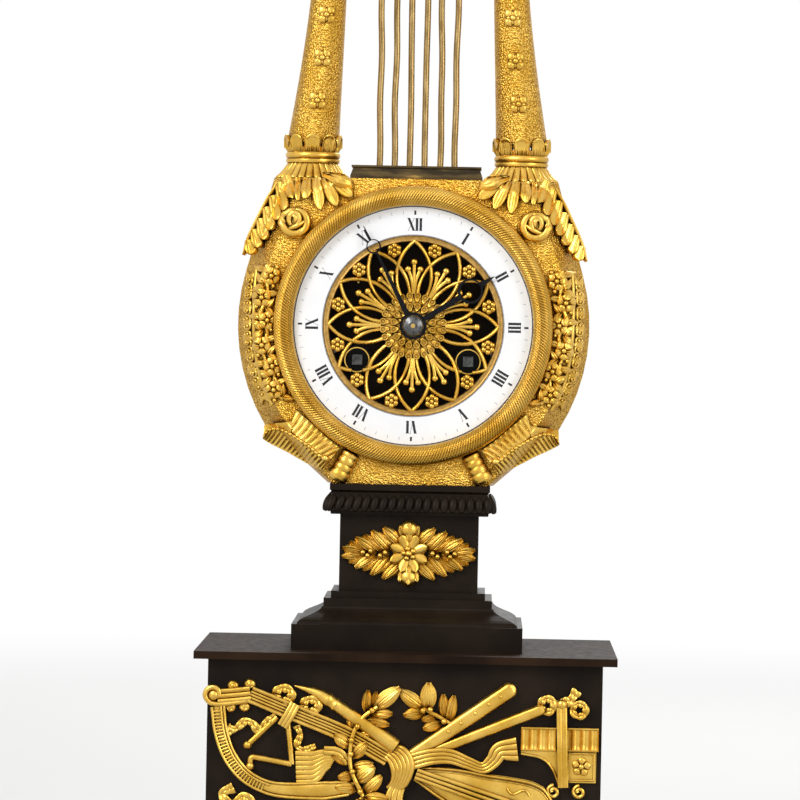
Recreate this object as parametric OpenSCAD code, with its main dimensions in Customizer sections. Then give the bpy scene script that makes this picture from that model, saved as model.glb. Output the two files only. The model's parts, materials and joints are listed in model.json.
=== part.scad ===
// Lyre mantel clock: a gilt lyre with a pierced dial and a striking movement,
// on a dark stepped pedestal and a plinth with an applied trophy.
// Millimetres, +Z up, front towards -Y, origin on the table under the middle of the plinth.

/* [Overall] */
// Height from the table to the top of the curled arms
overall_h = 430.7; // [415:0.1:470]

/* [Plinth] */
// Width of the overhanging top plate
plate_w = 165; // [162:1:180]
// Depth of the top plate
plate_d = 118; // [114:1:130]
// Thickness of the top plate
plate_t = 3; // [2:0.5:6]
// Width of the plinth case
plinth_w = 154; // [152:1:158]
// Depth of the plinth case
plinth_d = 108; // [90:1:112]
// Height of the case panels
panel_h = 84; // [80:1:110]
// Thickness of the case panels
panel_t = 4; // [3:0.5:6]
// Height of the moulded base
base_h = 7; // [5:0.5:10]
// How far the moulded base stands out past the case
base_out = 4; // [2:0.5:5]
// Side of the square posts in the corners of the case
post_side = 9; // [8:0.5:12]
// Height of the turned feet
foot_h = 13; // [10:0.5:18]
// Greatest radius of the feet
foot_r = 9; // [7:0.5:11]
// Radius of the stud on each foot
foot_stud_r = 2; // [1.5:0.1:2.5]
// Depth of each stud in its corner post
foot_stud_depth = 9; // [5:0.5:20]

/* [Pedestal] */
// Width of the pedestal's foot
ped_w = 91; // [84:1:100]
// Depth of the pedestal's foot
ped_d = 76; // [70:1:90]
// Height of the foot's square slab
slab_h = 10; // [6:0.5:14]
// Set-back between the slab and the cyma above it
cyma_lip = 2; // [1:0.5:4]
// Horizontal run of the cyma
cyma_run = 9.7; // [6:0.1:11]
// Height of the cyma
cyma_h = 6.7; // [4:0.1:10]
// Height of the lower step
step_low_h = 3.2; // [2:0.1:5]
// Height of the upper step
step_high_h = 2.7; // [2:0.1:5]
// Set-back of the upper step
step_in = 2.8; // [1.5:0.1:3.5]
// Width of the dado
dado_w = 55; // [50:0.5:58]
// Depth of the dado
dado_d = 40; // [36:0.5:43]
// Height of the dado
dado_h = 30.5; // [28:0.5:45]
// Width of the cornice across its gadroons
cornice_w = 70; // [68:0.5:76]
// Depth of the cornice across its gadroons
cornice_d = 55; // [50:0.5:60]
// Height of the plain necking under the gadroons
necking_h = 1.5; // [1:0.1:3]
// Height of the gadroon band
gadroon_h = 6; // [4:0.1:8]
// Height of the hollow above the gadroons
hollow_h = 2; // [1:0.1:4]
// Height of the top fillet
fillet_h = 2.5; // [1.5:0.1:4]
// Radius of one gadroon
gadroon_r = 1.84; // [1.5:0.02:2.2]
// Radius of the tie rod that clamps lyre, pedestal and plate together
tie_r = 3; // [2.5:0.1:3.5]

/* [Lyre body] */
// Height of the dial centre above the body's underside
body_low = 63; // [61:0.5:70]
// Height of the body's shoulders above the dial centre
body_top = 58; // [57:0.5:64]
// Width of the body where it stands on the cornice
body_foot_w = 66; // [58:0.5:68]
// Radius of the body's swelling sides
side_r = 77; // [74:0.5:80]
// Distance of the side arc's centre past the middle line
side_off = 7; // [5:0.5:9]
// Width across the shoulders
shoulder_w = 113; // [110:0.5:116]
// Drop of the front edge below the shoulders
shoulder_drop = 8; // [5:0.5:10]
// Distance from the middle plane to the flat front
body_front = 22; // [21:0.5:26]
// Distance from the middle plane to the open back
body_back = 22; // [21:0.5:26]
// Depth of the sloping side band behind the flat front
bevel_d = 12; // [9:0.5:13]
// Width of the sloping side band seen from the front
bevel_w = 8; // [6:0.5:9]
// Wall of the hollow behind the dial
body_wall = 6; // [5:0.5:7]
// Relief of the leaves and flowers on the body
relief_h = 2.6; // [1.5:0.1:4]

/* [Arms and strings] */
// Distance of each arm's foot from the middle line
arm_x = 41.7; // [41.2:0.1:42.6]
// How far each arm leans in on its way up
arm_lean = 6.7; // [4:0.1:8]
// Height of the arm's foot above the shoulders
collar_seat = 14; // [12:0.5:18]
// Radius of the arm at its foot
arm_foot_r = 11; // [9:0.1:11.2]
// Radius of the arm where the curl starts
arm_top_r = 6.3; // [5.5:0.1:7]
// Radius of the curl at the head of the arm
curl_r = 15; // [14:0.5:18]
// Radius of the curl at its inner end
curl_end_r = 5; // [4:0.5:6]
// Radius of the arm at the inner end of the curl
arm_tip_r = 3.2; // [2.5:0.1:3.6]
// Radius of the threaded stud under each arm
arm_stud_r = 3; // [2:0.1:3.5]
// Share of the arm's height at which the crossbar passes through
bar_share = 0.8; // [0.75:0.01:0.84]
// Radius of the crossbar
bar_r = 3.5; // [3:0.1:4.5]
// Radius of one string rod
string_r = 1.2; // [0.8:0.05:1.4]
// Distance between neighbouring strings
string_pitch = 5.85; // [4:0.05:7]
// Height of the crest block that holds the strings
crest_h = 5.5; // [4.5:0.1:8]
// Width of the crest block at its foot
crest_w = 52.6; // [48:0.2:53]
// Depth of the crest block
crest_d = 30; // [20:0.5:36]

/* [Dial] */
// Outer radius of the enamel hour ring
dial_r = 47.5; // [46:0.1:48.5]
// Inner radius of the enamel hour ring
dial_in_r = 35.8; // [35:0.1:38]
// Thickness of the enamel ring
enamel_t = 1.2; // [0.8:0.1:1.5]
// Thickness of the dial plate behind it
dial_plate_t = 1.2; // [0.8:0.1:1.6]
// Width of the bezel
bezel_w = 7.6; // [7:0.1:9]
// Height of the bezel above the flat front
bezel_h = 8; // [7:0.1:10]
// Thickness of the pierced gilt centre
fret_t = 1; // [0.6:0.1:1.2]
// Width of the ribs in the pierced centre
fret_rib = 0.85; // [0.6:0.05:1.2]
// Length of the minute hand
minute_len = 44; // [40:0.5:46]
// Length of the hour hand
hour_len = 37.5; // [32:0.1:38]
// Thickness of the hands
hand_t = 0.6; // [0.4:0.1:0.8]

/* [Movement] */
// Radius of the movement plates
move_r = 45; // [45:0.1:45.6]
// Thickness of the movement plates
move_t = 2; // [1.5:0.1:2.5]
// Sideways distance of each winding square from the centre
wind_x = 22; // [21.9:0.05:22.2]
// Distance of the winding squares below the centre
wind_z = 13.8; // [13.6:0.05:14]
// Side of the winding squares
wind_sq = 4; // [3:0.1:4.2]
// Radius of the key holes in the dial
key_hole_r = 4.6; // [4:0.1:5]
// Radius of the thin train arbors
arbor_r = 0.55; // [0.45:0.05:0.55]
// Radius of the centre arbor
centre_r = 0.9; // [0.8:0.05:1.1]
// Radius of the anchor and hammer arbors
strong_r = 0.8; // [0.7:0.05:1]
// Radius of the pivots
pivot_r = 0.4; // [0.3:0.05:0.45]
// Radius of the going and striking spring drums
drum_r = 16; // [14:0.1:16.2]
// Radius of the movement pillars
pillar_r = 2.5; // [1.8:0.1:2.6]
// Length from the suspension pin to the middle of the bob
pendulum_len = 77; // [72:0.5:77.5]
// Radius of the bob
bob_r = 13; // [10:0.5:13.5]
// Radius of the bell at its mouth
bell_r = 17; // [15:0.5:18]
// Depth of the bell
bell_d = 12; // [10:0.5:14]

/* [Clearances] */
// Radial clearance of a pivot or shaft in its hole
run_gap = 0.05; // [0.03:0.01:0.08]
// Clearance between neighbouring fixed pieces that are fitted together
fit_gap = 0.1; // [0.05:0.05:0.2]
// Clearance between pieces that move past each other
free_gap = 0.3; // [0.2:0.05:0.4]

/* [Hidden] */
$fn = 64;
gilt = [0.84, 0.63, 0.2];
bronze = [0.14, 0.1, 0.08];
brass = [0.72, 0.58, 0.28];
dark_brass = [0.34, 0.25, 0.12];
steel = [0.55, 0.56, 0.58];
black_steel = [0.07, 0.07, 0.08];
white_enamel = [0.95, 0.95, 0.94];

// Levels from the table up
base_z = foot_h;
panel_z = base_z + base_h;
plate_z = panel_z + panel_h;
ped_z = plate_z + plate_t;
ped_foot_h = slab_h + cyma_h + step_low_h + step_high_h;
dado_z = ped_z + ped_foot_h;
cornice_z = dado_z + dado_h;
cornice_h = necking_h + gadroon_h + hollow_h + fillet_h;
body_z = cornice_z + cornice_h;
dial_z = body_z + body_low;
post_x = plinth_w / 2 - panel_t - post_side / 2;
post_y = plinth_d / 2 - panel_t - post_side / 2;

// Hexagon nuts on the tie rod and on the arm studs
nut_h = 4;
nut_wide = 2.2;

// Dial levels, from the flat front of the body forwards
dial_plate_y = -body_front - dial_plate_t;
enamel_y = dial_plate_y - enamel_t;
fret_y = dial_plate_y - fret_t;
fret_ring_w = 2.5;
dial_plate_in = dial_in_r - fret_ring_w - 0.3;
bezel_in = dial_r + fit_gap;
bezel_out = bezel_in + bezel_w;
dial_plate_r = bezel_out - 1.3;
bezel_lip_y = enamel_y - free_gap;
dial_screw_ring = (dial_r + dial_plate_r) / 2;
dial_screw_r = 1;
dial_screw_len = 6;
dial_foot_r = 1.8;
dial_foot_ring = move_r - 4;
dial_foot_angles = [45, 117, 225, 315];

// Hands: the hour hand, the minute hand and the nut lie one in front of the other
hour_y = enamel_y - 1.8;
minute_y = hour_y - 1.4;
nut_y = minute_y - 2.3;
hour_angle = 57.7;
minute_angle = 332.5;
hand_boss_r = 5.4;
cannon_r = 1.6;
pipe_r = 2.4;

// Movement levels
front_y = -14;
back_y = 10;
back_face = back_y + move_t;
pillar_angles = [18, 62, 132, 162, 270];
pillar_ring = move_r - 5;
spigot_r = 1.2;
frame_nut_t = 1;
screw_r = 0.8;
cock_t = 1.4;
rating_h = 2.6;
shake = 0.1;
bore_r = move_r + 1.5;
bore_depth = 14;

// Tooth counts and modules, and the arbor places that follow from them
great_n = 78;
great_m = 0.47;
mid_leaves = 10;
mid_n = 70;
mid_m = 0.4;
centre_leaves = 10;
centre_n = 96;
centre_m = 0.3;
third_leaves = 8;
third_n = 96;
third_m = 0.25;
escape_leaves = 8;
escape_n = 45;
escape_r = 8.5;
second_n = 60;
second_m = 0.32;
pin_leaves = 8;
pin_n = 64;
pin_m = 0.25;
warn_leaves = 8;
warn_n = 50;
warn_m = 0.24;
fly_leaves = 8;
cannon_leaves = 12;
minute_n = 36;
cannon_m = 0.5;
minute_leaves = 10;
hour_n = 40;
hour_m = 0.48;

function span(a, b, m) = m * (a + b) / 2;
function turned(p, d, a) = [p[0] + d * cos(a), p[1] + d * sin(a)];
function bearing(p, q) = atan2(q[1] - p[1], q[0] - p[0]);
// Point at distance r1 from p and r2 from q, to the left of the way from p to q
function meet(p, r1, q, r2) =
    let (d = norm(q - p), along = (r1 * r1 - r2 * r2 + d * d) / (2 * d))
    turned(turned(p, along, bearing(p, q)), sqrt(r1 * r1 - along * along), bearing(p, q) + 90);

centre_p = [0, 0];
going_p = [wind_x, -wind_z];
strike_p = [-wind_x, -wind_z];
mid_p = meet(centre_p, span(mid_n, centre_leaves, mid_m), going_p, span(great_n, mid_leaves, great_m));
escape_p = [0, 21];
third_p = meet(centre_p, span(centre_n, third_leaves, centre_m),
    escape_p, span(third_n, escape_leaves, third_m));
second_p = turned(strike_p, span(great_n, mid_leaves, great_m), 100);
pin_p = turned(second_p, span(second_n, pin_leaves, second_m), 72);
warn_p = turned(pin_p, span(pin_n, warn_leaves, pin_m), 60);
fly_p = turned(warn_p, span(warn_n, fly_leaves, warn_m), 80);
minute_p = [0, -span(cannon_leaves, minute_n, cannon_m)];
anchor_p = [0, 34.5];
hang_p = [0, 39];
hammer_p = turned(pin_p, 11, 150);
bell_p = [-24, -8];

// Levels of the wheels between the plates
great_y = -10.5;
great_t = 1.5;
drum_t = 12;
drum_y = great_y + great_t;
mid_y = 4.2;
centre_y = 7;
third_y = -4;
escape_y = 1;
pin_y = 0;
warn_y = -6.5;
wheel_t = 1;
pinion_t = 2;
ratchet_t = 1.2;
ratchet_y = front_y - ratchet_t - free_gap;
ratchet_r = 6.5;
ratchet_n = 16;
wind_arbor_r = 3;
wind_tip_y = -19.5;
wind_pivot_r = 1.5;
click_angle = 20;
click_reach = 11;
click_pin_r = 0.9;

// Motion work in front of the front plate
cannon_y = -17;
minute_wheel_y = -16.8;
minute_pinion_y = -19.6;
hour_wheel_y = -19.4;
minute_stud_r = 1;

// Parts behind the back plate
count_y = back_face + 1;
count_r = 10.5;
crutch_y = back_face + 1;
crutch_t = 1.4;
crutch_len = 22;
swing_y = back_face + 5;
rod_r = 1;
hang_pin_r = 0.8;
eye_r = 2.2;
bell_y = back_face + 3;
bell_t = 1.2;
bell_post_r = 1.8;
bell_top = bell_y + bell_d;
hammer_y = bell_y;
hammer_head_r = 2.2;
hammer_gap = 0.5;
hammer_reach = bell_r + hammer_gap + hammer_head_r;
hammer_side = bearing(bell_p, hammer_p) + acos(hammer_reach / norm(hammer_p - bell_p));
hammer_head_p = turned(bell_p, hammer_reach, hammer_side);

// Helpers

// A flat piece cut from a front-view outline, from depth y0 backwards
module slab(y0, t) {
    translate([0, y0 + t, 0]) rotate([90, 0, 0]) linear_extrude(t) children();
}

// A round rod along Y at place p of the front view
module rod_y(p, r, y0, y1) {
    translate([p[0], y0, p[1]]) rotate([-90, 0, 0]) cylinder(h = y1 - y0, r = r);
}

// A turned piece about a Y axis at place p, from a profile of radius and depth
module turned_y(p) {
    translate([p[0], 0, p[1]]) rotate([-90, 0, 0]) rotate_extrude() children();
}

module at_dial() {
    translate([0, 0, dial_z]) children();
}

module both_sides() {
    children();
    mirror([1, 0, 0]) children();
}

module at_polar(r, a) {
    translate([r * cos(a), r * sin(a)]) children();
}

// A stroke of even width from a to b with round ends
module stroke(a, b, w) {
    translate(a) rotate(bearing(a, b)) translate([0, -w / 2]) square([norm(b - a), w]);
    translate(a) circle(d = w);
    translate(b) circle(d = w);
}

module ring_flat(r, w) {
    difference() {
        circle(r + w / 2);
        circle(r - w / 2);
    }
}

// A pointed leaf along +X
leaf_steps = 4;
function leaf_half(l, w, s) =
    [for (i = [1 : leaf_steps - 1]) let (t = i / leaf_steps) [l * t, s * w / 2 * sin(180 * pow(t, 0.8))]];
function backwards(v) = [for (i = [len(v) - 1 : -1 : 0]) v[i]];
module leaf_flat(l, w) {
    polygon(concat([[0, 0]], leaf_half(l, w, -1), [[l, 0]], backwards(leaf_half(l, w, 1))));
}

// Lays a relief that stands on the XY plane against a wall that faces -Y
module on_wall(y) {
    translate([0, y, 0]) rotate([90, 0, 0]) children();
}

// A moulded block: one profile of set-back and height runs round all four sides
module moulded(w, d, profile) {
    intersection() {
        rotate([90, 0, 0]) linear_extrude(d, center = true)
            polygon(concat([for (p = profile) [w / 2 - p[0], p[1]]],
                backwards([for (p = profile) [p[0] - w / 2, p[1]]])));
        rotate([90, 0, 90]) linear_extrude(w, center = true)
            polygon(concat([for (p = profile) [d / 2 - p[0], p[1]]],
                backwards([for (p = profile) [p[0] - d / 2, p[1]]])));
    }
}

// Points of an S-shaped curve from one corner to the opposite one
function cyma(x0, z0, run, rise, n = 8) =
    [for (i = [0 : n]) let (t = i / n) [x0 + run * (1 - cos(180 * t)) / 2, z0 + rise * t]];

// Gear outlines
function tooth(n, m, thick, tall, deep) =
    let (r = m * n / 2, half = thick * 180 / n)
    [[r - deep * m, -0.92 * half], [r, -half], [r + 0.55 * tall * m, -0.72 * half],
    [r + tall * m, -0.3 * half], [r + tall * m, 0.3 * half], [r + 0.55 * tall * m, 0.72 * half],
    [r, half], [r - deep * m, 0.92 * half]];
module gear_outline(n, m, thick, tall, deep) {
    polygon([for (k = [0 : n - 1]) for (p = tooth(n, m, thick, tall, deep))
        [p[0] * cos(p[1] + 360 * k / n), p[0] * sin(p[1] + 360 * k / n)]]);
}

// A crossed-out wheel at p whose tooth points at its pinion, which lies in direction a
module wheel(p, n, m, a, y0, t, hub = 2.6, rim = 1.6, arms = 5) {
    root = m * n / 2 - 1.4 * m;
    slab(y0, t) translate(p) difference() {
        rotate(a) gear_outline(n, m, 0.42, 1, 1.4);
        difference() {
            circle(root - rim);
            circle(hub);
            for (k = [0 : arms - 1]) rotate(a + 360 * k / arms) translate([0, -0.6]) square([root, 1.2]);
        }
    }
}

// A pinion at p whose gap points at its wheel, which lies in direction a
module pinion(p, n, m, a, y0, t) {
    slab(y0, t) translate(p) rotate(a + 180 / n) gear_outline(n, m, 0.36, 0.6, 1.5);
}

// An arbor between the plates with a pivot at each end
module arbor(p) {
    rod_y(p, arbor_r, front_y + move_t + shake, back_y - shake);
    rod_y(p, pivot_r, front_y + 0.2, back_face - 0.2);
}

// Plinth

foot_places = [for (sx = [-1, 1]) for (sy = [-1, 1]) [sx * post_x, sy * post_y, 0]];

module plinth_top_plate() {
    color(bronze) difference() {
        translate([-plate_w / 2, -plate_d / 2, plate_z]) cube([plate_w, plate_d, plate_t]);
        translate([0, 0, plate_z - 1]) cylinder(h = plate_t + 2, r = tie_r + fit_gap);
    }
}

module plinth_front_panel() {
    color(bronze) translate([-plinth_w / 2, -plinth_d / 2, panel_z]) cube([plinth_w, panel_t, panel_h]);
}

module plinth_back_panel() {
    color(bronze) translate([-plinth_w / 2, plinth_d / 2 - panel_t, panel_z])
        cube([plinth_w, panel_t, panel_h]);
}

module plinth_side_panels() {
    color(bronze) both_sides() translate([plinth_w / 2 - panel_t, -plinth_d / 2 + panel_t, panel_z])
        cube([panel_t, plinth_d - 2 * panel_t, panel_h]);
}

module plinth_base() {
    lip = base_h * 0.35;
    color(bronze) difference() {
        translate([0, 0, base_z])
            moulded(plinth_w + 2 * base_out, plinth_d + 2 * base_out,
                concat([[0, 0]], cyma(0, lip, base_out * 0.9, base_h - lip)));
        for (p = foot_places) translate(p + [0, 0, base_z - 1])
            cylinder(h = base_h + 2, r = foot_stud_r + fit_gap);
    }
}

module corner_posts() {
    color(brass) for (p = foot_places) translate(p + [0, 0, panel_z]) difference() {
        translate([-post_side / 2, -post_side / 2, 0]) cube([post_side, post_side, panel_h]);
        translate([0, 0, -1]) cylinder(h = foot_stud_depth + 2, r = foot_stud_r + fit_gap);
    }
}

// Toupie foot: a flattened ball between a small pad and a top ring
module feet() {
    ball_h = foot_h * 0.56;
    color(gilt) for (p = foot_places) translate(p) {
        rotate_extrude() {
            square([foot_r * 0.55, foot_h]);
            translate([foot_r - ball_h / 2, foot_h * 0.14 + ball_h / 2]) circle(d = ball_h);
            translate([0, foot_h * 0.14]) square([foot_r - ball_h / 2, ball_h]);
            translate([0, foot_h * 0.86]) square([foot_r * 0.8, foot_h * 0.14]);
        }
        cylinder(h = foot_h + base_h + foot_stud_depth, r = foot_stud_r);
    }
}

// Applied gilt trophy of instruments, laurel and drapery, measured from the panel's top centre

// A flat bar from a to b with three-sided ends, r1 and r2 wide to each side
module taper(a, b, r1, r2) {
    way = bearing(a, b);
    polygon([turned(a, r1, way + 90), turned(a, r1, way + 150), turned(a, r1, way + 210),
        turned(a, r1, way - 90), turned(b, r2, way - 90), turned(b, r2, way - 30),
        turned(b, r2, way + 30), turned(b, r2, way + 90)]);
}

module bar(a, b, w) {
    taper(a, b, w / 2, w / 2);
}

// A twig from a to b with its leaves in pairs
module laurel(a, b, pairs, l) {
    for (k = [0 : pairs]) for (s = k < pairs ? [-38, 38] : [0])
        translate(a + (b - a) * (k + 0.2) / (pairs + 0.6)) rotate(bearing(a, b) + s)
            leaf_flat(l, l * 0.42);
    bar(a, b, 1.4);
}

// A flat band that bends round c from angle a1 to a2, w wide
function arc_points(c, r, a1, a2, n) = [for (i = [0 : n]) turned(c, r, a1 + (a2 - a1) * i / n)];
module bent_band(c, r, w, a1, a2, n) {
    polygon(concat(arc_points(c, r + w / 2, a1, a2, n), arc_points(c, r - w / 2, a2, a1, n)));
}

module many_sided(c, r, n) {
    polygon(arc_points(c, r, 0, 360 - 360 / n, n - 1));
}

cittern_c = [-38, -18];
cittern_r = 35.5;
cittern_w = 4.4;
cittern_turn = [183, 296];
cittern_foot = 268;
trophy_knot = [1, -41];
trophy_twigs = [[[-18, -48], [-9, -14], 5], [[-1, -34], [12, -10], 4], [[-30, -62], [-60, -70], 4],
    [[8, -66], [-22, -72], 4], [[60, -68], [30, -74], 4]];
pipe_count = 8;
pipe_pitch = 3.6;

// Lowest layer: laurel, ribbons and drapery
module trophy_leaves() {
    for (t = trophy_twigs) laurel(t[0], t[1], t[2], 8.5);
    for (a = [60 : 24 : 180]) translate([-31, -50]) rotate(a) leaf_flat(10, 4.2);
    for (k = [0 : 3]) translate(trophy_knot) rotate(5 + 7 * k) leaf_flat(45 - 5 * k, 7);
    for (a = [150 : 30 : 300]) translate(trophy_knot) rotate(a) leaf_flat(9.5, 4.5);
    for (a = [8, 188]) translate([65, -17.5]) rotate(a) leaf_flat(10.5, 5);
    for (c = [[-47.5, -13], [-36.5, -16], [-66, -53.3]]) bent_band(c, 3.6, 1.8, -160, 150, 10);
    bar([-47, -13], [-36.5, -16], 2.2);
    bar([-66, -56.6], [-48, -58], 2);
}

// Middle layer: cittern at the left, pipes and violin in the middle, panpipes at the right
module trophy_instruments() {
    bar([-61, -14], [-20, -32], 6);
    bar([-73, -15], [-61, -14], 4.6);
    for (q = [[-66, -9.5], [-60, -9], [-67, -20], [-62, -19]]) bar(q, [q[0] + 0.1, -14], 1.8);
    bent_band(cittern_c, cittern_r, cittern_w, cittern_turn[0], cittern_turn[1], 24);
    bar(turned(cittern_c, cittern_r, cittern_foot), [-8, -60], cittern_w);
    bar([-50, -22], [-59.5, -33], 2);
    bar([-44, -28], [-42, -41], 2);
    bar([-57.5, -39.5], [-41.5, -41], 2);
    taper([3, -40], [42, -10], 2.2, 3);
    taper([9, -37], [58, -17], 2, 2.6);
    taper([-42, -10.5], [2, -40], 1.2, 2.4);
    taper([22, -52], [45, -58], 9, 12.3);
    for (k = [0 : pipe_count - 1]) translate([48 + pipe_pitch * k, -24 - k * 0.3])
        bar([0, 0], [0.1, -16 - 1.4 * k], 3.1);
    translate([49, -30]) square([pipe_pitch * (pipe_count - 1) - 2, 4]);
}

// Top layer: what lies across the rest
module trophy_overlays() {
    many_sided([-73, -15], 3.4, 12);
    for (k = [0 : 9]) translate(turned(cittern_c, cittern_r, 190 + 8.5 * k)) rotate(190 + 8.5 * k)
        translate([-1.7, -0.5]) square([3.4, 1]);
    for (d = [-1.6, 0, 1.6]) bar([-58, -15.3 + d], [-24, -30.3 + d], 0.7);
    bar(trophy_knot, [46.7, -58.6], 3);
    many_sided(trophy_knot, 3.6, 12);
    bar([62.3, -18], [62.4, -42.3], 2.9);
    many_sided([65, -17.5], 1.9, 8);
}

module trophy_mount() {
    color(gilt) translate([0, 0, plate_z]) on_wall(-plinth_d / 2) {
        linear_extrude(1.8) trophy_leaves();
        linear_extrude(3) trophy_instruments();
        linear_extrude(4) trophy_overlays();
    }
}

// Pedestal

module tie_hole(z0, h) {
    translate([0, 0, z0 - 1]) cylinder(h = h + 2, r = tie_r + fit_gap);
}

module pedestal_foot() {
    z_cyma = slab_h + cyma_h;
    z_step = z_cyma + step_low_h;
    low_in = cyma_lip + cyma_run + 0.5;
    color(bronze) difference() {
        translate([0, 0, ped_z]) moulded(ped_w, ped_d, concat(
            [[0, 0], [0, slab_h]], cyma(cyma_lip, slab_h, cyma_run, cyma_h),
            [[low_in, z_cyma], [low_in, z_step], [low_in + step_in, z_step],
            [low_in + step_in, ped_foot_h]]));
        tie_hole(ped_z, ped_foot_h);
    }
}

module pedestal_dado() {
    color(bronze) difference() {
        translate([-dado_w / 2, -dado_d / 2, dado_z]) cube([dado_w, dado_d, dado_h]);
        tie_hole(dado_z, dado_h);
    }
}

// Half-round gadroons side by side along all four edges
module gadroon_outline(w, d) {
    nx = floor(w / (2 * gadroon_r));
    ny = floor(d / (2 * gadroon_r));
    square([w - 2 * gadroon_r, d - 2 * gadroon_r], center = true);
    for (s = [-1, 1]) {
        for (k = [0 : nx - 1])
            translate([(k + 0.5 - nx / 2) * (w - 2 * gadroon_r) / nx, s * (d / 2 - gadroon_r)])
                circle(gadroon_r);
        for (k = [0 : ny - 1])
            translate([s * (w / 2 - gadroon_r), (k + 0.5 - ny / 2) * (d - 2 * gadroon_r) / ny])
                circle(gadroon_r);
    }
}

module pedestal_cornice() {
    z_band = necking_h + gadroon_h;
    z_fillet = z_band + hollow_h;
    neck_in = gadroon_r * 2;
    color(bronze) difference() {
        translate([0, 0, cornice_z]) {
            moulded(cornice_w, cornice_d, concat(
                [[neck_in, 0], [neck_in, z_band]], cyma(neck_in, z_band, gadroon_r * 0.6, hollow_h, 4),
                [[neck_in * 0.9, z_fillet], [neck_in * 0.9, cornice_h]]));
            translate([0, 0, necking_h]) linear_extrude(gadroon_h) gadroon_outline(cornice_w, cornice_d);
        }
        tie_hole(cornice_z, cornice_h);
    }
}

// Lozenge of laurel round a double flower on the dado's front
module mount_spray(ribs) {
    half_w = 26.8;
    leaves = concat(
        [for (x = [5, 9.5, 14, 18]) for (a = [-34, 34]) [x, a, 11.5 - x * 0.28]],
        [[17.6, 0, half_w - 17.6]],
        [for (a = [62, 90, 118]) [0, a, 13.2 - abs(a - 90) * 0.1]]);
    for (s = [0, 180]) for (q = leaves) rotate(s) translate([q[0], 0]) rotate(q[1])
        if (ribs) translate([q[2] * 0.1, -0.35]) square([q[2] * 0.72, 0.7]);
        else leaf_flat(q[2], 4.5);
    translate([-18, -0.7]) square([36, 1.4]);
}

module pedestal_mount() {
    petals = 8;
    petal_l = 7.2;
    color(gilt) translate([0, 0, dado_z + dado_h / 2]) on_wall(-dado_d / 2) {
        linear_extrude(1.6) mount_spray(false);
        linear_extrude(2.4) mount_spray(true);
        linear_extrude(3) for (k = [0 : petals - 1]) rotate(360 * (k + 0.5) / petals)
            leaf_flat(petal_l, 4.6);
        cylinder(h = 4, r1 = 3, r2 = 1.6);
    }
}

module tie_rod() {
    top = body_z + body_wall;
    bottom = plate_z - nut_h - 2;
    color(steel) {
        translate([0, 0, bottom]) cylinder(h = top - bottom + 1, r = tie_r);
        translate([0, 0, top]) cylinder(h = nut_h, r = tie_r + nut_wide, $fn = 6);
    }
}

module hex_nut(r) {
    difference() {
        cylinder(h = nut_h, r = r + nut_wide, $fn = 6);
        translate([0, 0, -1]) cylinder(h = nut_h + 2, r = r + run_gap);
    }
}

// One nut under the plinth plate and one inside the body under each arm
module case_nuts() {
    color(steel) {
        translate([0, 0, plate_z - nut_h]) hex_nut(tie_r);
        both_sides() translate([arm_x, 0, dial_z + body_top - body_wall - nut_h]) hex_nut(arm_stud_r);
    }
}

// Lyre body

side_low = 31.5;
side_high = 16;
// Right half of the body's outline, set in by inset and with the shoulder dropped by drop
function body_half(inset, drop) = concat(
    [[body_foot_w / 2 - inset * 0.3, -body_low]],
    [for (i = [0 : 8]) let (a = -side_low + (side_low + side_high) * i / 8)
        [(side_r - inset) * cos(a) - side_off, (side_r - inset) * sin(a)]],
    [[shoulder_w / 2 - inset, body_top - drop], [crest_w / 2, body_top]]);
function body_outline(inset, drop) =
    concat(body_half(inset, drop), backwards([for (p = body_half(inset, drop)) [-p[0], p[1]]]));

// The solid form of the body, grown by g on its front and sides
module body_form(g) {
    thin = 0.02;
    hull() {
        slab(-body_front - g, thin) polygon(body_outline(bevel_w - g, shoulder_drop));
        slab(bevel_d - body_front - g, body_front + body_back - bevel_d + g) polygon(body_outline(-g, 0));
    }
}

// The open hollow behind the front wall
module body_hollow() {
    slab(bore_depth - body_front, body_front + body_back - bore_depth + 1)
        polygon([for (p = body_outline(body_wall, 0))
            [p[0], max(-body_low + body_wall, min(body_top - body_wall, p[1]))]]);
    slab(-body_front - 1, bore_depth + 2) circle(bore_r);
}

module lyre_body() {
    color(gilt) at_dial() difference() {
        body_form(0);
        body_hollow();
        translate([0, 0, -body_low - 1]) cylinder(h = body_wall + 2, r = tie_r + fit_gap);
        both_sides() translate([arm_x, 0, body_top - body_wall - 1])
            cylinder(h = body_wall + 2, r = arm_stud_r + fit_gap);
        for (a = dial_foot_angles)
            rod_y(turned([0, 0], dial_screw_ring, a), dial_screw_r + run_gap, -body_front - 1,
                -body_front + dial_screw_len + 1);
    }
}

// A skin of relief that follows the body's front and sloping sides
module on_body(h) {
    difference() {
        intersection() {
            body_form(h);
            slab(-body_front - h - 1, bevel_d + body_front) children();
        }
        body_form(0);
    }
}

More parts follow.
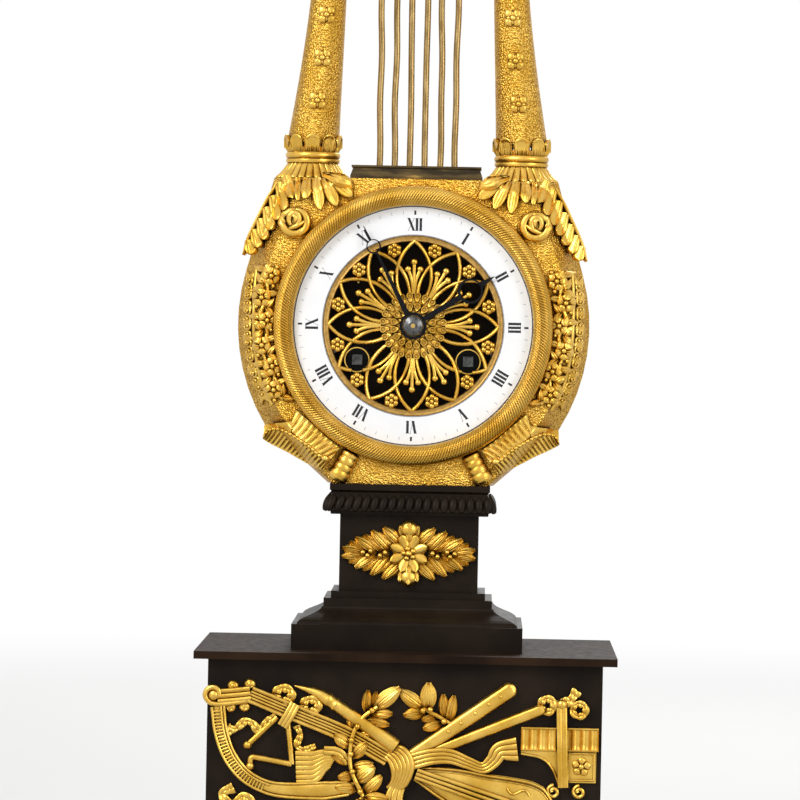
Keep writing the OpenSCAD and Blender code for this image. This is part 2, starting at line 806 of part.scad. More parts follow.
// Acanthus under each skirt, a rose beside the bezel and a ribbed leaf down the flank
module shoulder_mounts() {
    root = [arm_x, body_top];
    rose = [47, 40.3];
    rose_r = 5.4;
    flank = [[56, 55], [67.5, 27]];
    color(gilt) at_dial() both_sides() {
        on_body(relief_h) intersection() {
            union() {
                for (k = [0 : 5]) translate([root[0] - 11 + 3.6 * k, root[1]]) rotate(-118 + 9 * k)
                    leaf_flat(15, 6);
                translate([root[0] - 12.5, root[1] - 5]) circle(3.4);
                for (k = [0 : 8]) translate(flank[0] + (flank[1] - flank[0]) * k / 9) rotate(-112 + 4 * k)
                    leaf_flat(11, 5.4);
                stroke(flank[0], flank[1], 3);
            }
            difference() {
                translate([0, -body_low]) square([side_r, body_low + body_top]);
                circle(bezel_out + fit_gap);
                translate(rose) circle(rose_r + fit_gap);
            }
        }
        slab(-body_front - 1.6, 1.6) translate(rose)
            for (k = [0 : 4]) at_polar(rose_r * 0.5, 72 * k) circle(rose_r * 0.48);
        slab(-body_front - 2.6, 1.2) translate(rose)
            for (k = [0 : 2]) at_polar(rose_r * 0.25, 120 * k + 30) circle(rose_r * 0.4);
        rod_y(rose, rose_r * 0.28, -body_front - 3.4, -body_front - 2);
    }
}

// Folded ribbed leaf and ringed roll at each lower corner
module lower_leaves() {
    spine = [[31, -54], [57, -42]];
    tip = [62, -44.5];
    roll = [[21, -52.5], [30, -60.5]];
    roll_r = [3.4, 4.6, 3.8, 4.4, 3];
    color(gilt) at_dial() both_sides() {
        on_body(relief_h) difference() {
            union() {
                for (k = [0 : 8]) translate(spine[0] + (spine[1] - spine[0]) * k / 9) rotate(62 - 4 * k)
                    leaf_flat(16, 5);
                for (k = [0 : 6]) translate(spine[0] + (spine[1] - spine[0]) * k / 7) rotate(-12 + 3 * k)
                    leaf_flat(11, 4.6);
                stroke(spine[0], spine[1], 3.4);
            }
            circle(bezel_out + fit_gap);
            stroke(roll[0], roll[1], 2 * max(roll_r));
        }
        slab(-body_front - relief_h, relief_h) for (k = [0 : 2])
            translate(spine[1] - [12 - 3 * k, 3 - k]) rotate(bearing(spine[1] - [12, 3], tip) + 6 * k)
                leaf_flat(norm(tip - spine[1]) + 13 - 3 * k, 5.6);
        difference() {
            translate([roll[0][0], -body_front, roll[0][1]])
                rotate([0, 90 - bearing(roll[0], roll[1]), 0])
                    for (k = [0 : 4]) translate([0, 0, norm(roll[1] - roll[0]) * k / 5])
                        cylinder(h = norm(roll[1] - roll[0]) / 5, r = roll_r[k]);
            slab(-body_front, 20) square(200, center = true);
            slab(-body_front - 20, 40) circle(bezel_out + fit_gap);
        }
    }
}

// Flowering stem between the bezel and each side
module side_vines() {
    stem_r = bezel_out + 5;
    from = -29;
    to = 23;
    buds = 7;
    color(gilt) at_dial() both_sides() on_body(relief_h * 0.8) difference() {
        union() {
            intersection() {
                ring_flat(stem_r, 1.6);
                polygon([[0, 0], turned([0, 0], 99, from), turned([0, 0], 99, to)]);
            }
            for (k = [0 : buds - 1]) let (a = from + (to - from) * (k + 0.5) / buds) rotate(a) {
                translate([stem_r - 0.5, 0]) circle(2.5);
                translate([stem_r, 1]) rotate(58) leaf_flat(6.5, 3.6);
                translate([stem_r, -1]) rotate(-32) leaf_flat(8.5, 3.8);
                translate([stem_r, 2.4]) rotate(132) leaf_flat(4.6, 3);
            }
        }
        circle(bezel_out + fit_gap);
    }
}

// Arms, crossbar and strings

arm_z0 = body_top + collar_seat;
curl_x = arm_x - arm_lean + curl_r;
stem_rings = 13;
curl_rings = 19;
curl_turn = 300;
function curl_radius(t) = curl_r + (curl_end_r - curl_r) * t;
function curl_thick(t) = arm_top_r + (arm_tip_r - arm_top_r) * t;
curl_rise = max([for (t = [0 : 0.01 : 1]) curl_radius(t) * sin(curl_turn * t) + curl_thick(t)]);
arm_stem_h = overall_h - dial_z - arm_z0 - curl_rise;
curl_z = arm_z0 + arm_stem_h;
bar_z = arm_z0 + bar_share * arm_stem_h;
function stem_x(t) = arm_x - arm_lean * sin(90 * t);
function stem_r(t) = arm_top_r + (arm_foot_r - arm_top_r) * pow(1 - t, 2);
function curl_at(t) = let (r = curl_radius(t), a = curl_turn * t)
    [curl_x - r * cos(a), curl_z + r * sin(a)];
// Stations along the arm: place in the front view and radius
function arm_stations() = concat(
    [for (i = [0 : stem_rings - 1]) let (t = i / stem_rings)
        [stem_x(t), arm_z0 + arm_stem_h * t, stem_r(t)]],
    [for (i = [0 : curl_rings]) let (t = i / curl_rings, p = curl_at(t)) [p[0], p[1], curl_thick(t)]]);
arm_sides = 16;

// A round tube swept through stations of place and radius in the XZ plane
module swept_tube(st) {
    last = len(st) - 1;
    function heading(i) = let (a = st[max(i - 1, 0)], b = st[min(i + 1, last)])
        i == 0 ? 90 : atan2(b[1] - a[1], b[0] - a[0]);
    points = [for (i = [0 : last]) for (k = [0 : arm_sides - 1])
        let (a = 360 * k / arm_sides, h = heading(i), r = st[i][2])
        [st[i][0] + r * cos(a) * sin(h), r * sin(a), st[i][1] - r * cos(a) * cos(h)]];
    walls = [for (i = [0 : last - 1]) for (k = [0 : arm_sides - 1])
        let (a = i * arm_sides + k, b = i * arm_sides + (k + 1) % arm_sides)
        each [[a, a + arm_sides, b], [b, a + arm_sides, b + arm_sides]]];
    foot = [[for (k = [0 : arm_sides - 1]) k]];
    head = [[for (k = [arm_sides - 1 : -1 : 0]) last * arm_sides + k]];
    polyhedron(points, concat(walls, foot, head));
}

// Heights of the applied flowers on each arm, and the reach of the arm's front there
flower_r = 4;
flower_first = 0.16;
flower_pitch = 0.162;
flower_count = 4;
flower_pin_r = 0.8;
flower_pin = 3;
curl_flower_r = 5;
// Share of the curl behind the flower in its eye
curl_flower_reach = 0.2;
curl_flower_back = -curl_thick(1 - curl_flower_reach) - fit_gap;
function flower_t(k) = flower_first + flower_pitch * k;
// Depth of a flower's back, clear of the arm where it is thickest behind the flower
function flower_back(t) = -stem_r(t - flower_r / arm_stem_h) - fit_gap;

module lyre_arm() {
    color(gilt) at_dial() {
        difference() {
            swept_tube(arm_stations());
            translate([0, 0, bar_z]) rotate([0, 90, 0]) cylinder(h = 2 * arm_x, r = bar_r + fit_gap);
            for (k = [0 : flower_count - 1]) let (t = flower_t(k))
                rod_y([stem_x(t), arm_z0 + arm_stem_h * t], flower_pin_r + run_gap,
                    -2 * arm_foot_r, -stem_r(t) + flower_pin + 0.3);
            rod_y(curl_at(1), flower_pin_r + run_gap, -arm_foot_r, arm_foot_r);
        }
        translate([arm_x, 0, body_top - body_wall - nut_h - 1])
            cylinder(h = body_wall + nut_h + 1 + collar_seat + 1, r = arm_stud_r);
    }
}

module lyre_arm_right() {
    lyre_arm();
}

module lyre_arm_left() {
    mirror([1, 0, 0]) lyre_arm();
}

// Reeded skirt on the shoulder, with a plain ring and a petal cup above it
module arm_collars() {
    skirt_h = collar_seat * 0.45;
    reed_h = skirt_h * 0.6;
    ring_h = collar_seat * 0.3;
    skirt_r = 14.2;
    reeds = 26;
    reed_r = 1.8;
    cup_r = arm_foot_r + 0.9;
    cup_h = 4.6;
    cup_z = collar_seat + cup_h;
    neck_r = arm_foot_r - 1;
    color(gilt) at_dial() both_sides() translate([arm_x, 0, body_top]) difference() {
        union() {
            linear_extrude(reed_h) {
                circle(skirt_r - reed_r);
                for (k = [0 : reeds - 1]) at_polar(skirt_r - reed_r, 360 * k / reeds) circle(reed_r);
            }
            rotate_extrude() {
                polygon([[0, 0], [skirt_r - reed_r, 0], [skirt_r - reed_r, reed_h], [neck_r, skirt_h],
                    [neck_r, skirt_h + ring_h], [cup_r, collar_seat], [cup_r, cup_z], [0, cup_z]]);
                translate([neck_r - 0.4, skirt_h + ring_h / 2]) circle(d = ring_h);
            }
        }
        translate([0, 0, collar_seat]) cylinder(h = cup_h + 1, r = arm_foot_r + fit_gap);
        translate([0, 0, -1]) cylinder(h = collar_seat + 2, r = arm_stud_r + fit_gap);
        for (k = [0 : 7]) rotate(45 * k + 22.5) translate([0, 0, cup_z])
            rotate([0, 90, 0]) cylinder(h = 2 * cup_r, r = 1.4);
    }
}

// Four-petalled flowers pinned to the arms, and round rosettes in the eyes of the curls
module pinned_flower(p, r, front, petals, pin) {
    rod_y(p, flower_pin_r, front, front + pin);
    slab(front - 1.2, 1.2) translate(p) {
        for (k = [0 : petals - 1]) at_polar(r * 0.56, 360 * (k + 0.5) / petals) circle(r * 0.44);
        circle(r * 0.5);
    }
    turned_y(p) translate([0, front - 1.2]) difference() {
        circle(r * 0.32);
        translate([-r, 0]) square(2 * r);
        translate([-2 * r, -r]) square(2 * r);
    }
}

module arm_rosettes() {
    eye = curl_at(1);
    color(gilt) at_dial() both_sides() {
        for (k = [0 : flower_count - 1]) let (t = flower_t(k))
            pinned_flower([stem_x(t), arm_z0 + arm_stem_h * t], flower_r, flower_back(t), 4, flower_pin);
        pinned_flower(eye, curl_flower_r, curl_flower_back, 8, arm_tip_r);
        mirror([0, 1, 0]) pinned_flower(eye, curl_flower_r, curl_flower_back, 8, arm_tip_r - 0.4);
    }
}

string_places = [for (k = [0 : 5]) (k - 2.5) * string_pitch];
string_seat = 3.8;

// Turned bar through both arms with a finial at each end
module crossbar() {
    t = (bar_z - arm_z0) / arm_stem_h;
    end_x = stem_x(t) + stem_r(t) + 0.6;
    color(gilt) at_dial() difference() {
        translate([0, 0, bar_z]) {
            rotate([0, 90, 0]) cylinder(h = 2 * end_x, r = bar_r, center = true);
            both_sides() translate([end_x, 0, 0]) rotate([0, 90, 0]) rotate_extrude() {
                square([bar_r + 1.4, 1.6]);
                intersection() {
                    translate([0, 5.2]) circle(bar_r + 0.6);
                    square([bar_r + 1, 12]);
                }
            }
            both_sides() translate([string_pitch, 0, 0]) rotate([0, 90, 0])
                cylinder(h = string_pitch / 2, r = bar_r + 0.9, center = true);
        }
        for (x = string_places) translate([x, 0, bar_z - 2 * bar_r])
            cylinder(h = 2 * bar_r - 0.5, r = string_r + run_gap);
    }
}

module strings() {
    bottom = body_top + crest_h - string_seat;
    color(brass) at_dial() for (x = string_places) translate([x, 0, bottom])
        cylinder(h = bar_z - 0.8 - bottom, r = string_r);
}

module crest_block() {
    lean = 1.2;
    color(dark_brass) at_dial() difference() {
        translate([0, 0, body_top]) moulded(crest_w, crest_d, [[0, 0], [0, 1.2], [lean, crest_h - 0.8],
            [lean * 0.4, crest_h - 0.8], [lean * 0.4, crest_h]]);
        for (x = string_places) translate([x, 0, body_top + crest_h - string_seat - 0.2])
            cylinder(h = string_seat + 1, r = string_r + run_gap);
    }
}

// Dial and hands

module ring_slab(r_in, r_out, y0, t) {
    slab(y0, t) difference() {
        circle(r_out);
        circle(r_in);
    }
}

// Half-round bezel with a skirt that fits over the dial plate
module bezel() {
    mid_r = (bezel_in + bezel_out) / 2;
    front = -body_front - bezel_h;
    color(gilt) at_dial() turned_y([0, 0]) {
        intersection() {
            translate([mid_r, front + bezel_w / 2]) circle(bezel_w / 2);
            translate([bezel_in, front]) square([bezel_w, bezel_w / 2 + 0.1]);
        }
        translate([bezel_in, front + bezel_w / 2]) square([bezel_w, bezel_lip_y - front - bezel_w / 2]);
        translate([dial_plate_r + fit_gap, front + bezel_w / 2])
            square([bezel_out - dial_plate_r - fit_gap, -body_front - front - bezel_w / 2]);
    }
}

module dial_plate() {
    color(brass) at_dial() {
        difference() {
            ring_slab(dial_plate_in, dial_plate_r, dial_plate_y, dial_plate_t);
            for (a = dial_foot_angles) rod_y(turned([0, 0], dial_screw_ring, a), dial_screw_r + run_gap,
                dial_plate_y - 1, 0);
        }
        for (a = dial_foot_angles) {
            rod_y(turned([0, 0], dial_foot_ring, a), dial_foot_r, dial_plate_y + dial_plate_t / 2, front_y);
            rod_y(turned([0, 0], dial_foot_ring, a), spigot_r, front_y - 1, front_y + move_t);
        }
    }
}

module enamel_ring() {
    color(white_enamel) at_dial() ring_slab(dial_in_r, dial_r, enamel_y, enamel_t);
}

// Pierced centre: twelve interlaced petals, trefoils, rosettes and a double daisy
module pierced_petal(r_in, r_out, w, rib) {
    half = (r_out - r_in) / 2;
    bow = (half * half + w * w) / (2 * w);
    translate([(r_in + r_out) / 2, 0]) difference() {
        intersection_for (s = [-1, 1]) translate([0, s * (bow - w)]) circle(bow + rib / 2);
        intersection_for (s = [-1, 1]) translate([0, s * (bow - w)]) circle(bow - rib / 2);
    }
}

module dial_centre() {
    rim_out = dial_in_r - fit_gap;
    rim_in = dial_in_r - fret_ring_w;
    petal_w = 6.9;
    petal_in = 5.5;
    trefoil_top = 25;
    trefoil_side = 22;
    rosette_ring = rim_in - 2.6;
    daisy_r = 13.6;
    color(gilt) at_dial() difference() {
        union() {
            slab(fret_y, fret_t) {
                difference() {
                    circle(rim_out);
                    circle(rim_in);
                }
                for (k = [0 : 11]) rotate(30 * k) {
                    pierced_petal(petal_in, rim_in + fret_rib / 2, petal_w, fret_rib);
                    translate([daisy_r - 2, -0.5]) square([trefoil_top - daisy_r + 2, 1]);
                    translate([trefoil_top, 0]) circle(1.5);
                    for (s = [-1, 1]) translate([trefoil_side, s * 1.6]) circle(1.4);
                    rotate(15) translate([rosette_ring, 0]) circle(2.9);
                    rotate(7.5) translate([daisy_r - 2.4, 0]) circle(2.4);
                    rotate(-7.5) translate([daisy_r - 2.4, 0]) circle(2.4);
                }
                circle(daisy_r - 2.4);
            }
            slab(fret_y - 0.6, 0.8) {
                for (k = [0 : 11]) rotate(30 * k) translate([6, 0]) circle(1.5);
                circle(6);
            }
        }
        rod_y(centre_p, pipe_r + 0.6, fret_y - 2, dial_plate_y + 1);
        for (p = [going_p, strike_p]) rod_y(p, key_hole_r, fret_y - 2, dial_plate_y + 1);
    }
}

// A hand that points to 12: a tapering shaft, an open moon and a point
module hand_outline(len, boss, moon_at, moon_r, wire, root_w, neck_w) {
    hole_r = moon_r - wire;
    difference() {
        union() {
            circle(boss);
            polygon([[-root_w / 2, 0], [root_w / 2, 0], [neck_w / 2, moon_at - hole_r],
                [-neck_w / 2, moon_at - hole_r]]);
            translate([0, moon_at]) circle(moon_r);
            polygon([[-neck_w * 0.6, moon_at + hole_r], [neck_w * 0.6, moon_at + hole_r],
                [0.15, len], [-0.15, len]]);
        }
        translate([0, moon_at + wire * 0.3]) circle(hole_r);
    }
}

module hour_hand() {
    moon_r = 5;
    tip_len = 6.1;
    color(black_steel) at_dial() slab(hour_y, hand_t) difference() {
        rotate(-hour_angle)
            hand_outline(hour_len, hand_boss_r, hour_len - tip_len - moon_r, moon_r, 0.9, 2, 2.4);
        circle(pipe_r + run_gap);
    }
}

module minute_hand() {
    boss_r = 3.4;
    moon_r = 2.9;
    tip_len = 6.1;
    color(black_steel) at_dial() slab(minute_y, hand_t) difference() {
        rotate(-minute_angle)
            hand_outline(minute_len, boss_r, minute_len - tip_len - moon_r, moon_r, 0.55, 2.5, 0.75);
        circle(cannon_r + run_gap);
    }
}

module hand_nut() {
    nut_r = 4.3;
    deep = minute_y - nut_y;
    color(steel) at_dial() turned_y(centre_p) polygon([[centre_r + run_gap, minute_y], [nut_r, minute_y],
        [nut_r, minute_y - deep * 0.25], [nut_r * 0.85, minute_y - deep * 0.6],
        [nut_r * 0.55, minute_y - deep * 0.9], [nut_r * 0.4, nut_y], [centre_r + run_gap, nut_y]]);
}

// Movement frame

pillar_places = [for (a = pillar_angles) turned([0, 0], pillar_ring, a)];
train_places = [mid_p, third_p, escape_p, second_p, pin_p, warn_p, fly_p];
click_p = turned(going_p, click_reach, click_angle);
cock_screws = [[-4.8, hang_p[1] + 1.6], [4.8, hang_p[1] + 1.6]];

module front_plate() {
    color(brass) at_dial() {
        difference() {
            slab(front_y, move_t) circle(move_r);
            for (p = train_places) rod_y(p, pivot_r + run_gap, front_y - 1, 0);
            for (p = [anchor_p, hammer_p]) rod_y(p, pivot_r + run_gap, front_y - 1, 0);
            rod_y(centre_p, centre_r + run_gap, front_y - 1, 0);
            for (p = [going_p, strike_p]) rod_y(p, wind_arbor_r + run_gap, front_y - 1, 0);
            for (p = pillar_places) rod_y(p, spigot_r + run_gap, front_y - 1, 0);
            for (a = dial_foot_angles)
                rod_y(turned([0, 0], dial_foot_ring, a), spigot_r + run_gap, front_y - 1, 0);
            for (s = [-1, 1]) rod_y([s * click_p[0], click_p[1]], click_pin_r + run_gap, front_y - 1, 0);
        }
        rod_y(minute_p, minute_stud_r, minute_pinion_y - 0.8, front_y + 0.5);
    }
}

module back_plate() {
    color(brass) at_dial() difference() {
        slab(back_y, move_t) circle(move_r);
        for (p = train_places) rod_y(p, p == second_p ? arbor_r + run_gap : pivot_r + run_gap, 0, 20);
        rod_y(centre_p, pivot_r + run_gap, 0, 20);
        for (p = [anchor_p, hammer_p]) rod_y(p, strong_r + run_gap, 0, 20);
        for (p = [going_p, strike_p]) rod_y(p, wind_pivot_r + run_gap, 0, 20);
        for (p = concat(pillar_places, [bell_p])) rod_y(p, spigot_r + run_gap, 0, 20);
        for (p = cock_screws) rod_y(p, screw_r + run_gap, 0, 20);
    }
}

// Pillars between the plates, and the post that carries the bell
module movement_pillars() {
    seat = bell_top - bell_t - 0.15;
    color(brass) at_dial() {
        for (p = pillar_places) {
            rod_y(p, pillar_r, front_y + move_t, back_y);
            rod_y(p, spigot_r, front_y - frame_nut_t, back_face + frame_nut_t);
        }
        rod_y(bell_p, bell_post_r, back_face, seat);
        rod_y(bell_p, spigot_r, back_y, bell_top + 2);
    }
}

module round_nut(p, r, hole, y0, t) {
    difference() {
        rod_y(p, r, y0, y0 + t);
        rod_y(p, hole, y0 - 1, y0 + t + 1);
    }
}

// Nuts on the pillars and the bell post, and the screws of the clicks, the cock and the dial plate
module movement_screws() {
    color(steel) at_dial() {
        for (p = pillar_places) {
            round_nut(p, 2.4, spigot_r + run_gap, front_y - frame_nut_t, frame_nut_t);
            round_nut(p, 2.4, spigot_r + run_gap, back_face, frame_nut_t);
        }
        round_nut(bell_p, 2.6, spigot_r + run_gap, bell_top, 1.6);
        both_sides() {
            rod_y(click_p, click_pin_r, ratchet_y - 0.4, front_y + move_t);
            rod_y(click_p, 2 * click_pin_r, ratchet_y - 1.1, ratchet_y - 0.4);
        }
        for (p = cock_screws) {
            rod_y(p, screw_r, back_y, back_face + cock_t + 0.1);
            rod_y(p, 2 * screw_r, back_face + cock_t, back_face + cock_t + 0.8);
        }
        for (a = dial_foot_angles) let (p = turned([0, 0], dial_screw_ring, a)) {
            rod_y(p, dial_screw_r, dial_plate_y - 0.2, -body_front + dial_screw_len);
            rod_y(p, 2 * dial_screw_r, dial_plate_y - enamel_t + 0.1, dial_plate_y);
        }
    }
}

// Springs and winding

// Great wheel and spring drum in one, free to turn on the winding arbor
module barrel(p, a) {
    at_dial() difference() {
        union() {
            slab(great_y, great_t) translate(p) rotate(a) gear_outline(great_n, great_m, 0.42, 1, 1.4);
            rod_y(p, drum_r, drum_y - 0.1, drum_y + drum_t);
        }
        rod_y(p, wind_arbor_r + run_gap, -50, 50);
    }
}

module going_barrel() {
    color(brass) barrel(going_p, bearing(going_p, mid_p));
}

module strike_barrel() {
    color(brass) barrel(strike_p, bearing(strike_p, second_p));
}

// Winding arbor with its square, ratchet and two collars that keep the drum in place
module wind_arbor(p) {
    collar_r = 4.5;
    at_dial() {
        slab(wind_tip_y, ratchet_y - wind_tip_y + 0.1) translate(p) square(wind_sq, center = true);
        slab(ratchet_y, ratchet_t) translate(p) polygon([for (k = [0 : 2 * ratchet_n - 1])
            let (r = k % 2 == 0 ? ratchet_r : ratchet_r - 1.1, a = 360 * floor((k + 1) / 2) / ratchet_n)
            [r * cos(a + k % 2 * -2), r * sin(a + k % 2 * -2)]]);
        rod_y(p, wind_arbor_r, ratchet_y, back_y - shake);
        rod_y(p, wind_pivot_r, 0, back_face - 0.2);
        rod_y(p, collar_r, front_y + move_t + shake, great_y - shake);
        rod_y(p, collar_r, drum_y + drum_t + shake, mid_y - free_gap);
    }
}

module going_arbor() {
    color(steel) wind_arbor(going_p);
}

module strike_arbor() {
    color(steel) wind_arbor(strike_p);
}

// Pawl that rests just clear of the ratchet's tips
module click() {
    nose_w = 1.6;
    nose = turned(going_p, ratchet_r + free_gap + nose_w / 2, click_angle + 45);
    at_dial() difference() {
        slab(ratchet_y, ratchet_t) {
            translate(click_p) circle(2.2);
            stroke(click_p, nose, nose_w);
        }
        rod_y(click_p, click_pin_r + run_gap, -50, 50);
    }
}

module going_click() {
    color(steel) click();
}

module strike_click() {
    color(steel) mirror([1, 0, 0]) click();
}

// Going train

module intermediate_wheel() {
    color(brass) at_dial() {
        wheel(mid_p, mid_n, mid_m, bearing(mid_p, centre_p), mid_y, wheel_t);
        pinion(mid_p, mid_leaves, great_m, bearing(mid_p, going_p), great_y - 0.3, great_t + 0.6);
        arbor(mid_p);
    }
}

module centre_wheel() {
    color(brass) at_dial() {
        wheel(centre_p, centre_n, centre_m, bearing(centre_p, third_p), centre_y, wheel_t);
        pinion(centre_p, centre_leaves, mid_m, bearing(centre_p, mid_p), mid_y - 0.4, wheel_t + 0.8);
        rod_y(centre_p, centre_r, nut_y - 0.3, back_y - shake);
        rod_y(centre_p, pivot_r, 0, back_face - 0.2);
    }
}

module third_wheel() {
    color(brass) at_dial() {
        wheel(third_p, third_n, third_m, bearing(third_p, escape_p), third_y, wheel_t);
        pinion(third_p, third_leaves, centre_m, bearing(third_p, centre_p), centre_y - 0.5, pinion_t);
        arbor(third_p);
    }
}

module escape_wheel() {
    tooth_h = 1.6;
    color(brass) at_dial() {
        slab(escape_y, wheel_t) translate(escape_p) difference() {
            polygon([for (k = [0 : escape_n - 1]) for (q = [[escape_r - tooth_h, 0], [escape_r, 0.52],
                [escape_r, 0.64], [escape_r - tooth_h, 0.8]])
                [q[0] * cos(360 * (k + q[1]) / escape_n), q[0] * sin(360 * (k + q[1]) / escape_n)]]);
            difference() {
                circle(escape_r - tooth_h - 1.2);
                circle(2);
                for (k = [0 : 3]) rotate(90 * k) translate([0, -0.5]) square([escape_r - tooth_h, 1]);
            }
        }
        pinion(escape_p, escape_leaves, third_m, bearing(escape_p, third_p), third_y - 0.5, pinion_t);
        arbor(escape_p);
    }
}

// Anchor between the plates with its crutch behind them
module pallet_anchor() {
    pallet_gap = 1.2;
    pallet = turned(escape_p, escape_r + pallet_gap, 40);
    fork_z = anchor_p[1] - crutch_len;
    prong_in = rod_r + free_gap;
    prong_w = 1;
    color(steel) at_dial() {
        slab(escape_y, wheel_t) {
            translate(anchor_p) circle(2);
            for (s = [-1, 1]) {
                stroke(anchor_p, [s * (pallet[0] + 1.2), pallet[1] + 1.6], 1.4);
                polygon([[s * (pallet[0] + 1.8), pallet[1] + 2], [s * (pallet[0] + 0.5), pallet[1] + 2],
                    [s * pallet[0], pallet[1]], [s * (pallet[0] + 0.9), pallet[1] + 0.2]]);
            }
        }
        rod_y(anchor_p, strong_r, front_y + move_t + shake, crutch_y + crutch_t);
        rod_y(anchor_p, pivot_r, front_y + 0.2, 0);
        slab(crutch_y, crutch_t) {
            translate(anchor_p) circle(2);
            stroke(anchor_p, [0, fork_z], 1.6);
            translate([-prong_in - prong_w, fork_z - 0.8]) square([2 * (prong_in + prong_w), 1.6]);
        }
        for (s = [-1, 1]) translate([s * (prong_in + prong_w / 2) - prong_w / 2, crutch_y, fork_z - 0.8])
            cube([prong_w, swing_y + rod_r + 0.5 - crutch_y, 1.6]);
    }
}

module suspension_cock() {
    color(brass) at_dial() difference() {
        union() {
            slab(back_face, cock_t) translate([-7, hang_p[1] - 1.7]) square([14, 5.6]);
            rod_y(hang_p, 1.6, back_face, swing_y - 1.3);
            rod_y(hang_p, hang_pin_r, back_face, swing_y + 1.5);
            rod_y(hang_p, 1.5, swing_y + 1.3, swing_y + 2.1);
        }
        for (p = cock_screws) rod_y(p, screw_r + run_gap, 0, 50);
    }
}

// Pendulum rod with its hanging eye, and the lens-shaped bob on it
module pendulum() {
    bob_p = hang_p - [0, pendulum_len];
    half_t = 3.5;
    face_r = (bob_r * bob_r + half_t * half_t) / (2 * half_t);
    color(brass) at_dial() {
        slab(swing_y - 1, 2) translate(hang_p) difference() {
            circle(eye_r);
            circle(hang_pin_r + run_gap);
        }
        translate([0, swing_y, bob_p[1] - bob_r - rating_h - 1.4])
            cylinder(h = pendulum_len + bob_r + rating_h + 1.4 - eye_r + 0.5, r = rod_r);
        difference() {
            turned_y(bob_p) translate([0, swing_y]) intersection() {
                translate([0, half_t - face_r]) circle(face_r);
                translate([0, face_r - half_t]) circle(face_r);
                translate([0, -bob_r]) square([bob_r, 2 * bob_r]);
            }
            translate([0, swing_y, bob_p[1] - 2 * bob_r]) cylinder(h = 4 * bob_r, r = rod_r + run_gap);
        }
    }
}

module rating_nut() {
    top = hang_p[1] - pendulum_len - bob_r - free_gap;
    color(brass) at_dial() translate([0, swing_y, top - rating_h]) difference() {
        cylinder(h = rating_h, r = 3.2);
        translate([0, 0, -1]) cylinder(h = rating_h + 2, r = rod_r + run_gap);
        for (k = [0 : 11]) rotate(30 * k) translate([3.4, 0, -1]) cylinder(h = rating_h + 2, r = 0.4);
    }
}

// Motion work

module cannon_pinion() {
    color(steel) at_dial() difference() {
        union() {
            pinion(centre_p, cannon_leaves, cannon_m, bearing(centre_p, minute_p), cannon_y, pinion_t);
            rod_y(centre_p, cannon_r, minute_y + 0.05, front_y - free_gap);
        }
        rod_y(centre_p, centre_r + run_gap, -50, 50);
    }
}

module minute_wheel() {
    color(brass) at_dial() difference() {
        union() {
            wheel(minute_p, minute_n, cannon_m, bearing(minute_p, centre_p), minute_wheel_y, 1.6, 3.2);
            pinion(minute_p, minute_leaves, hour_m, bearing(minute_p, centre_p), minute_pinion_y,
                minute_wheel_y - minute_pinion_y + 0.1);
        }
        rod_y(minute_p, minute_stud_r + run_gap, -50, 50);
    }
}

module hour_wheel() {
    color(brass) at_dial() difference() {
        union() {
            wheel(centre_p, hour_n, hour_m, bearing(centre_p, minute_p), hour_wheel_y, 1.8, 4);
            rod_y(centre_p, pipe_r, hour_y - 0.1, hour_wheel_y + 1.8);
        }
        rod_y(centre_p, cannon_r + run_gap, -50, 50);
    }
}

// Striking train

module strike_second_wheel() {
    color(brass) at_dial() {
        wheel(second_p, second_n, second_m, bearing(second_p, pin_p), mid_y, wheel_t);
        pinion(second_p, mid_leaves, great_m, bearing(second_p, strike_p), great_y - 0.3, great_t + 0.6);
        arbor(second_p);
        rod_y(second_p, arbor_r, 0, count_y + wheel_t + 0.6);
    }
}

// Locking plate with twelve notches whose distances grow by one stroke each
module count_wheel() {
    strokes = 78;
    color(brass) at_dial() slab(count_y, wheel_t) translate(second_p) difference() {
        circle(count_r);
        for (k = [1 : 12]) rotate(360 * k * (k + 1) / 2 / strokes)
            translate([count_r - 1.4, -0.5]) square([3, 1]);
        for (k = [0 : 3]) rotate(45 + 90 * k) translate([count_r * 0.55, 0]) circle(count_r * 0.2);
        circle(arbor_r + run_gap);
    }
}

module pin_wheel() {
    pins = 8;
    color(brass) at_dial() {
        wheel(pin_p, pin_n, pin_m, bearing(pin_p, warn_p), pin_y, wheel_t, 2, 2.2);
        for (k = [0 : pins - 1]) rod_y(turned(pin_p, pin_m * pin_n / 2 - 1.8, 360 * k / pins), 0.45,
            pin_y, pin_y + wheel_t + 1.6);
        pinion(pin_p, pin_leaves, second_m, bearing(pin_p, second_p), mid_y - 0.4, wheel_t + 0.8);
        arbor(pin_p);
    }
}

module warning_wheel() {
    color(brass) at_dial() {
        wheel(warn_p, warn_n, warn_m, bearing(warn_p, fly_p), warn_y, wheel_t, 1.8, 1.2, 4);
        pinion(warn_p, warn_leaves, pin_m, bearing(warn_p, pin_p), pin_y - 0.4, wheel_t + 0.8);
        arbor(warn_p);
    }
}

module fly() {
    blade_r = 4;
    blade_t = 0.5;
    color(brass) at_dial() {
        pinion(fly_p, fly_leaves, warn_m, bearing(fly_p, warn_p), warn_y - 0.5, pinion_t);
        translate([fly_p[0] - blade_r, third_y, fly_p[1] - blade_t / 2]) cube([2 * blade_r, 10, blade_t]);
        arbor(fly_p);
    }
}

module bell() {
    function shell(r, d, n = 9) = let (last = acos((spigot_r + run_gap) / r))
        [for (i = [0 : n]) let (a = last * i / n) [r * cos(a), bell_y + d * sin(a)]];
    color(brass) at_dial() turned_y(bell_p)
        polygon(concat(shell(bell_r, bell_d), backwards(shell(bell_r - bell_t, bell_d - bell_t))));
}

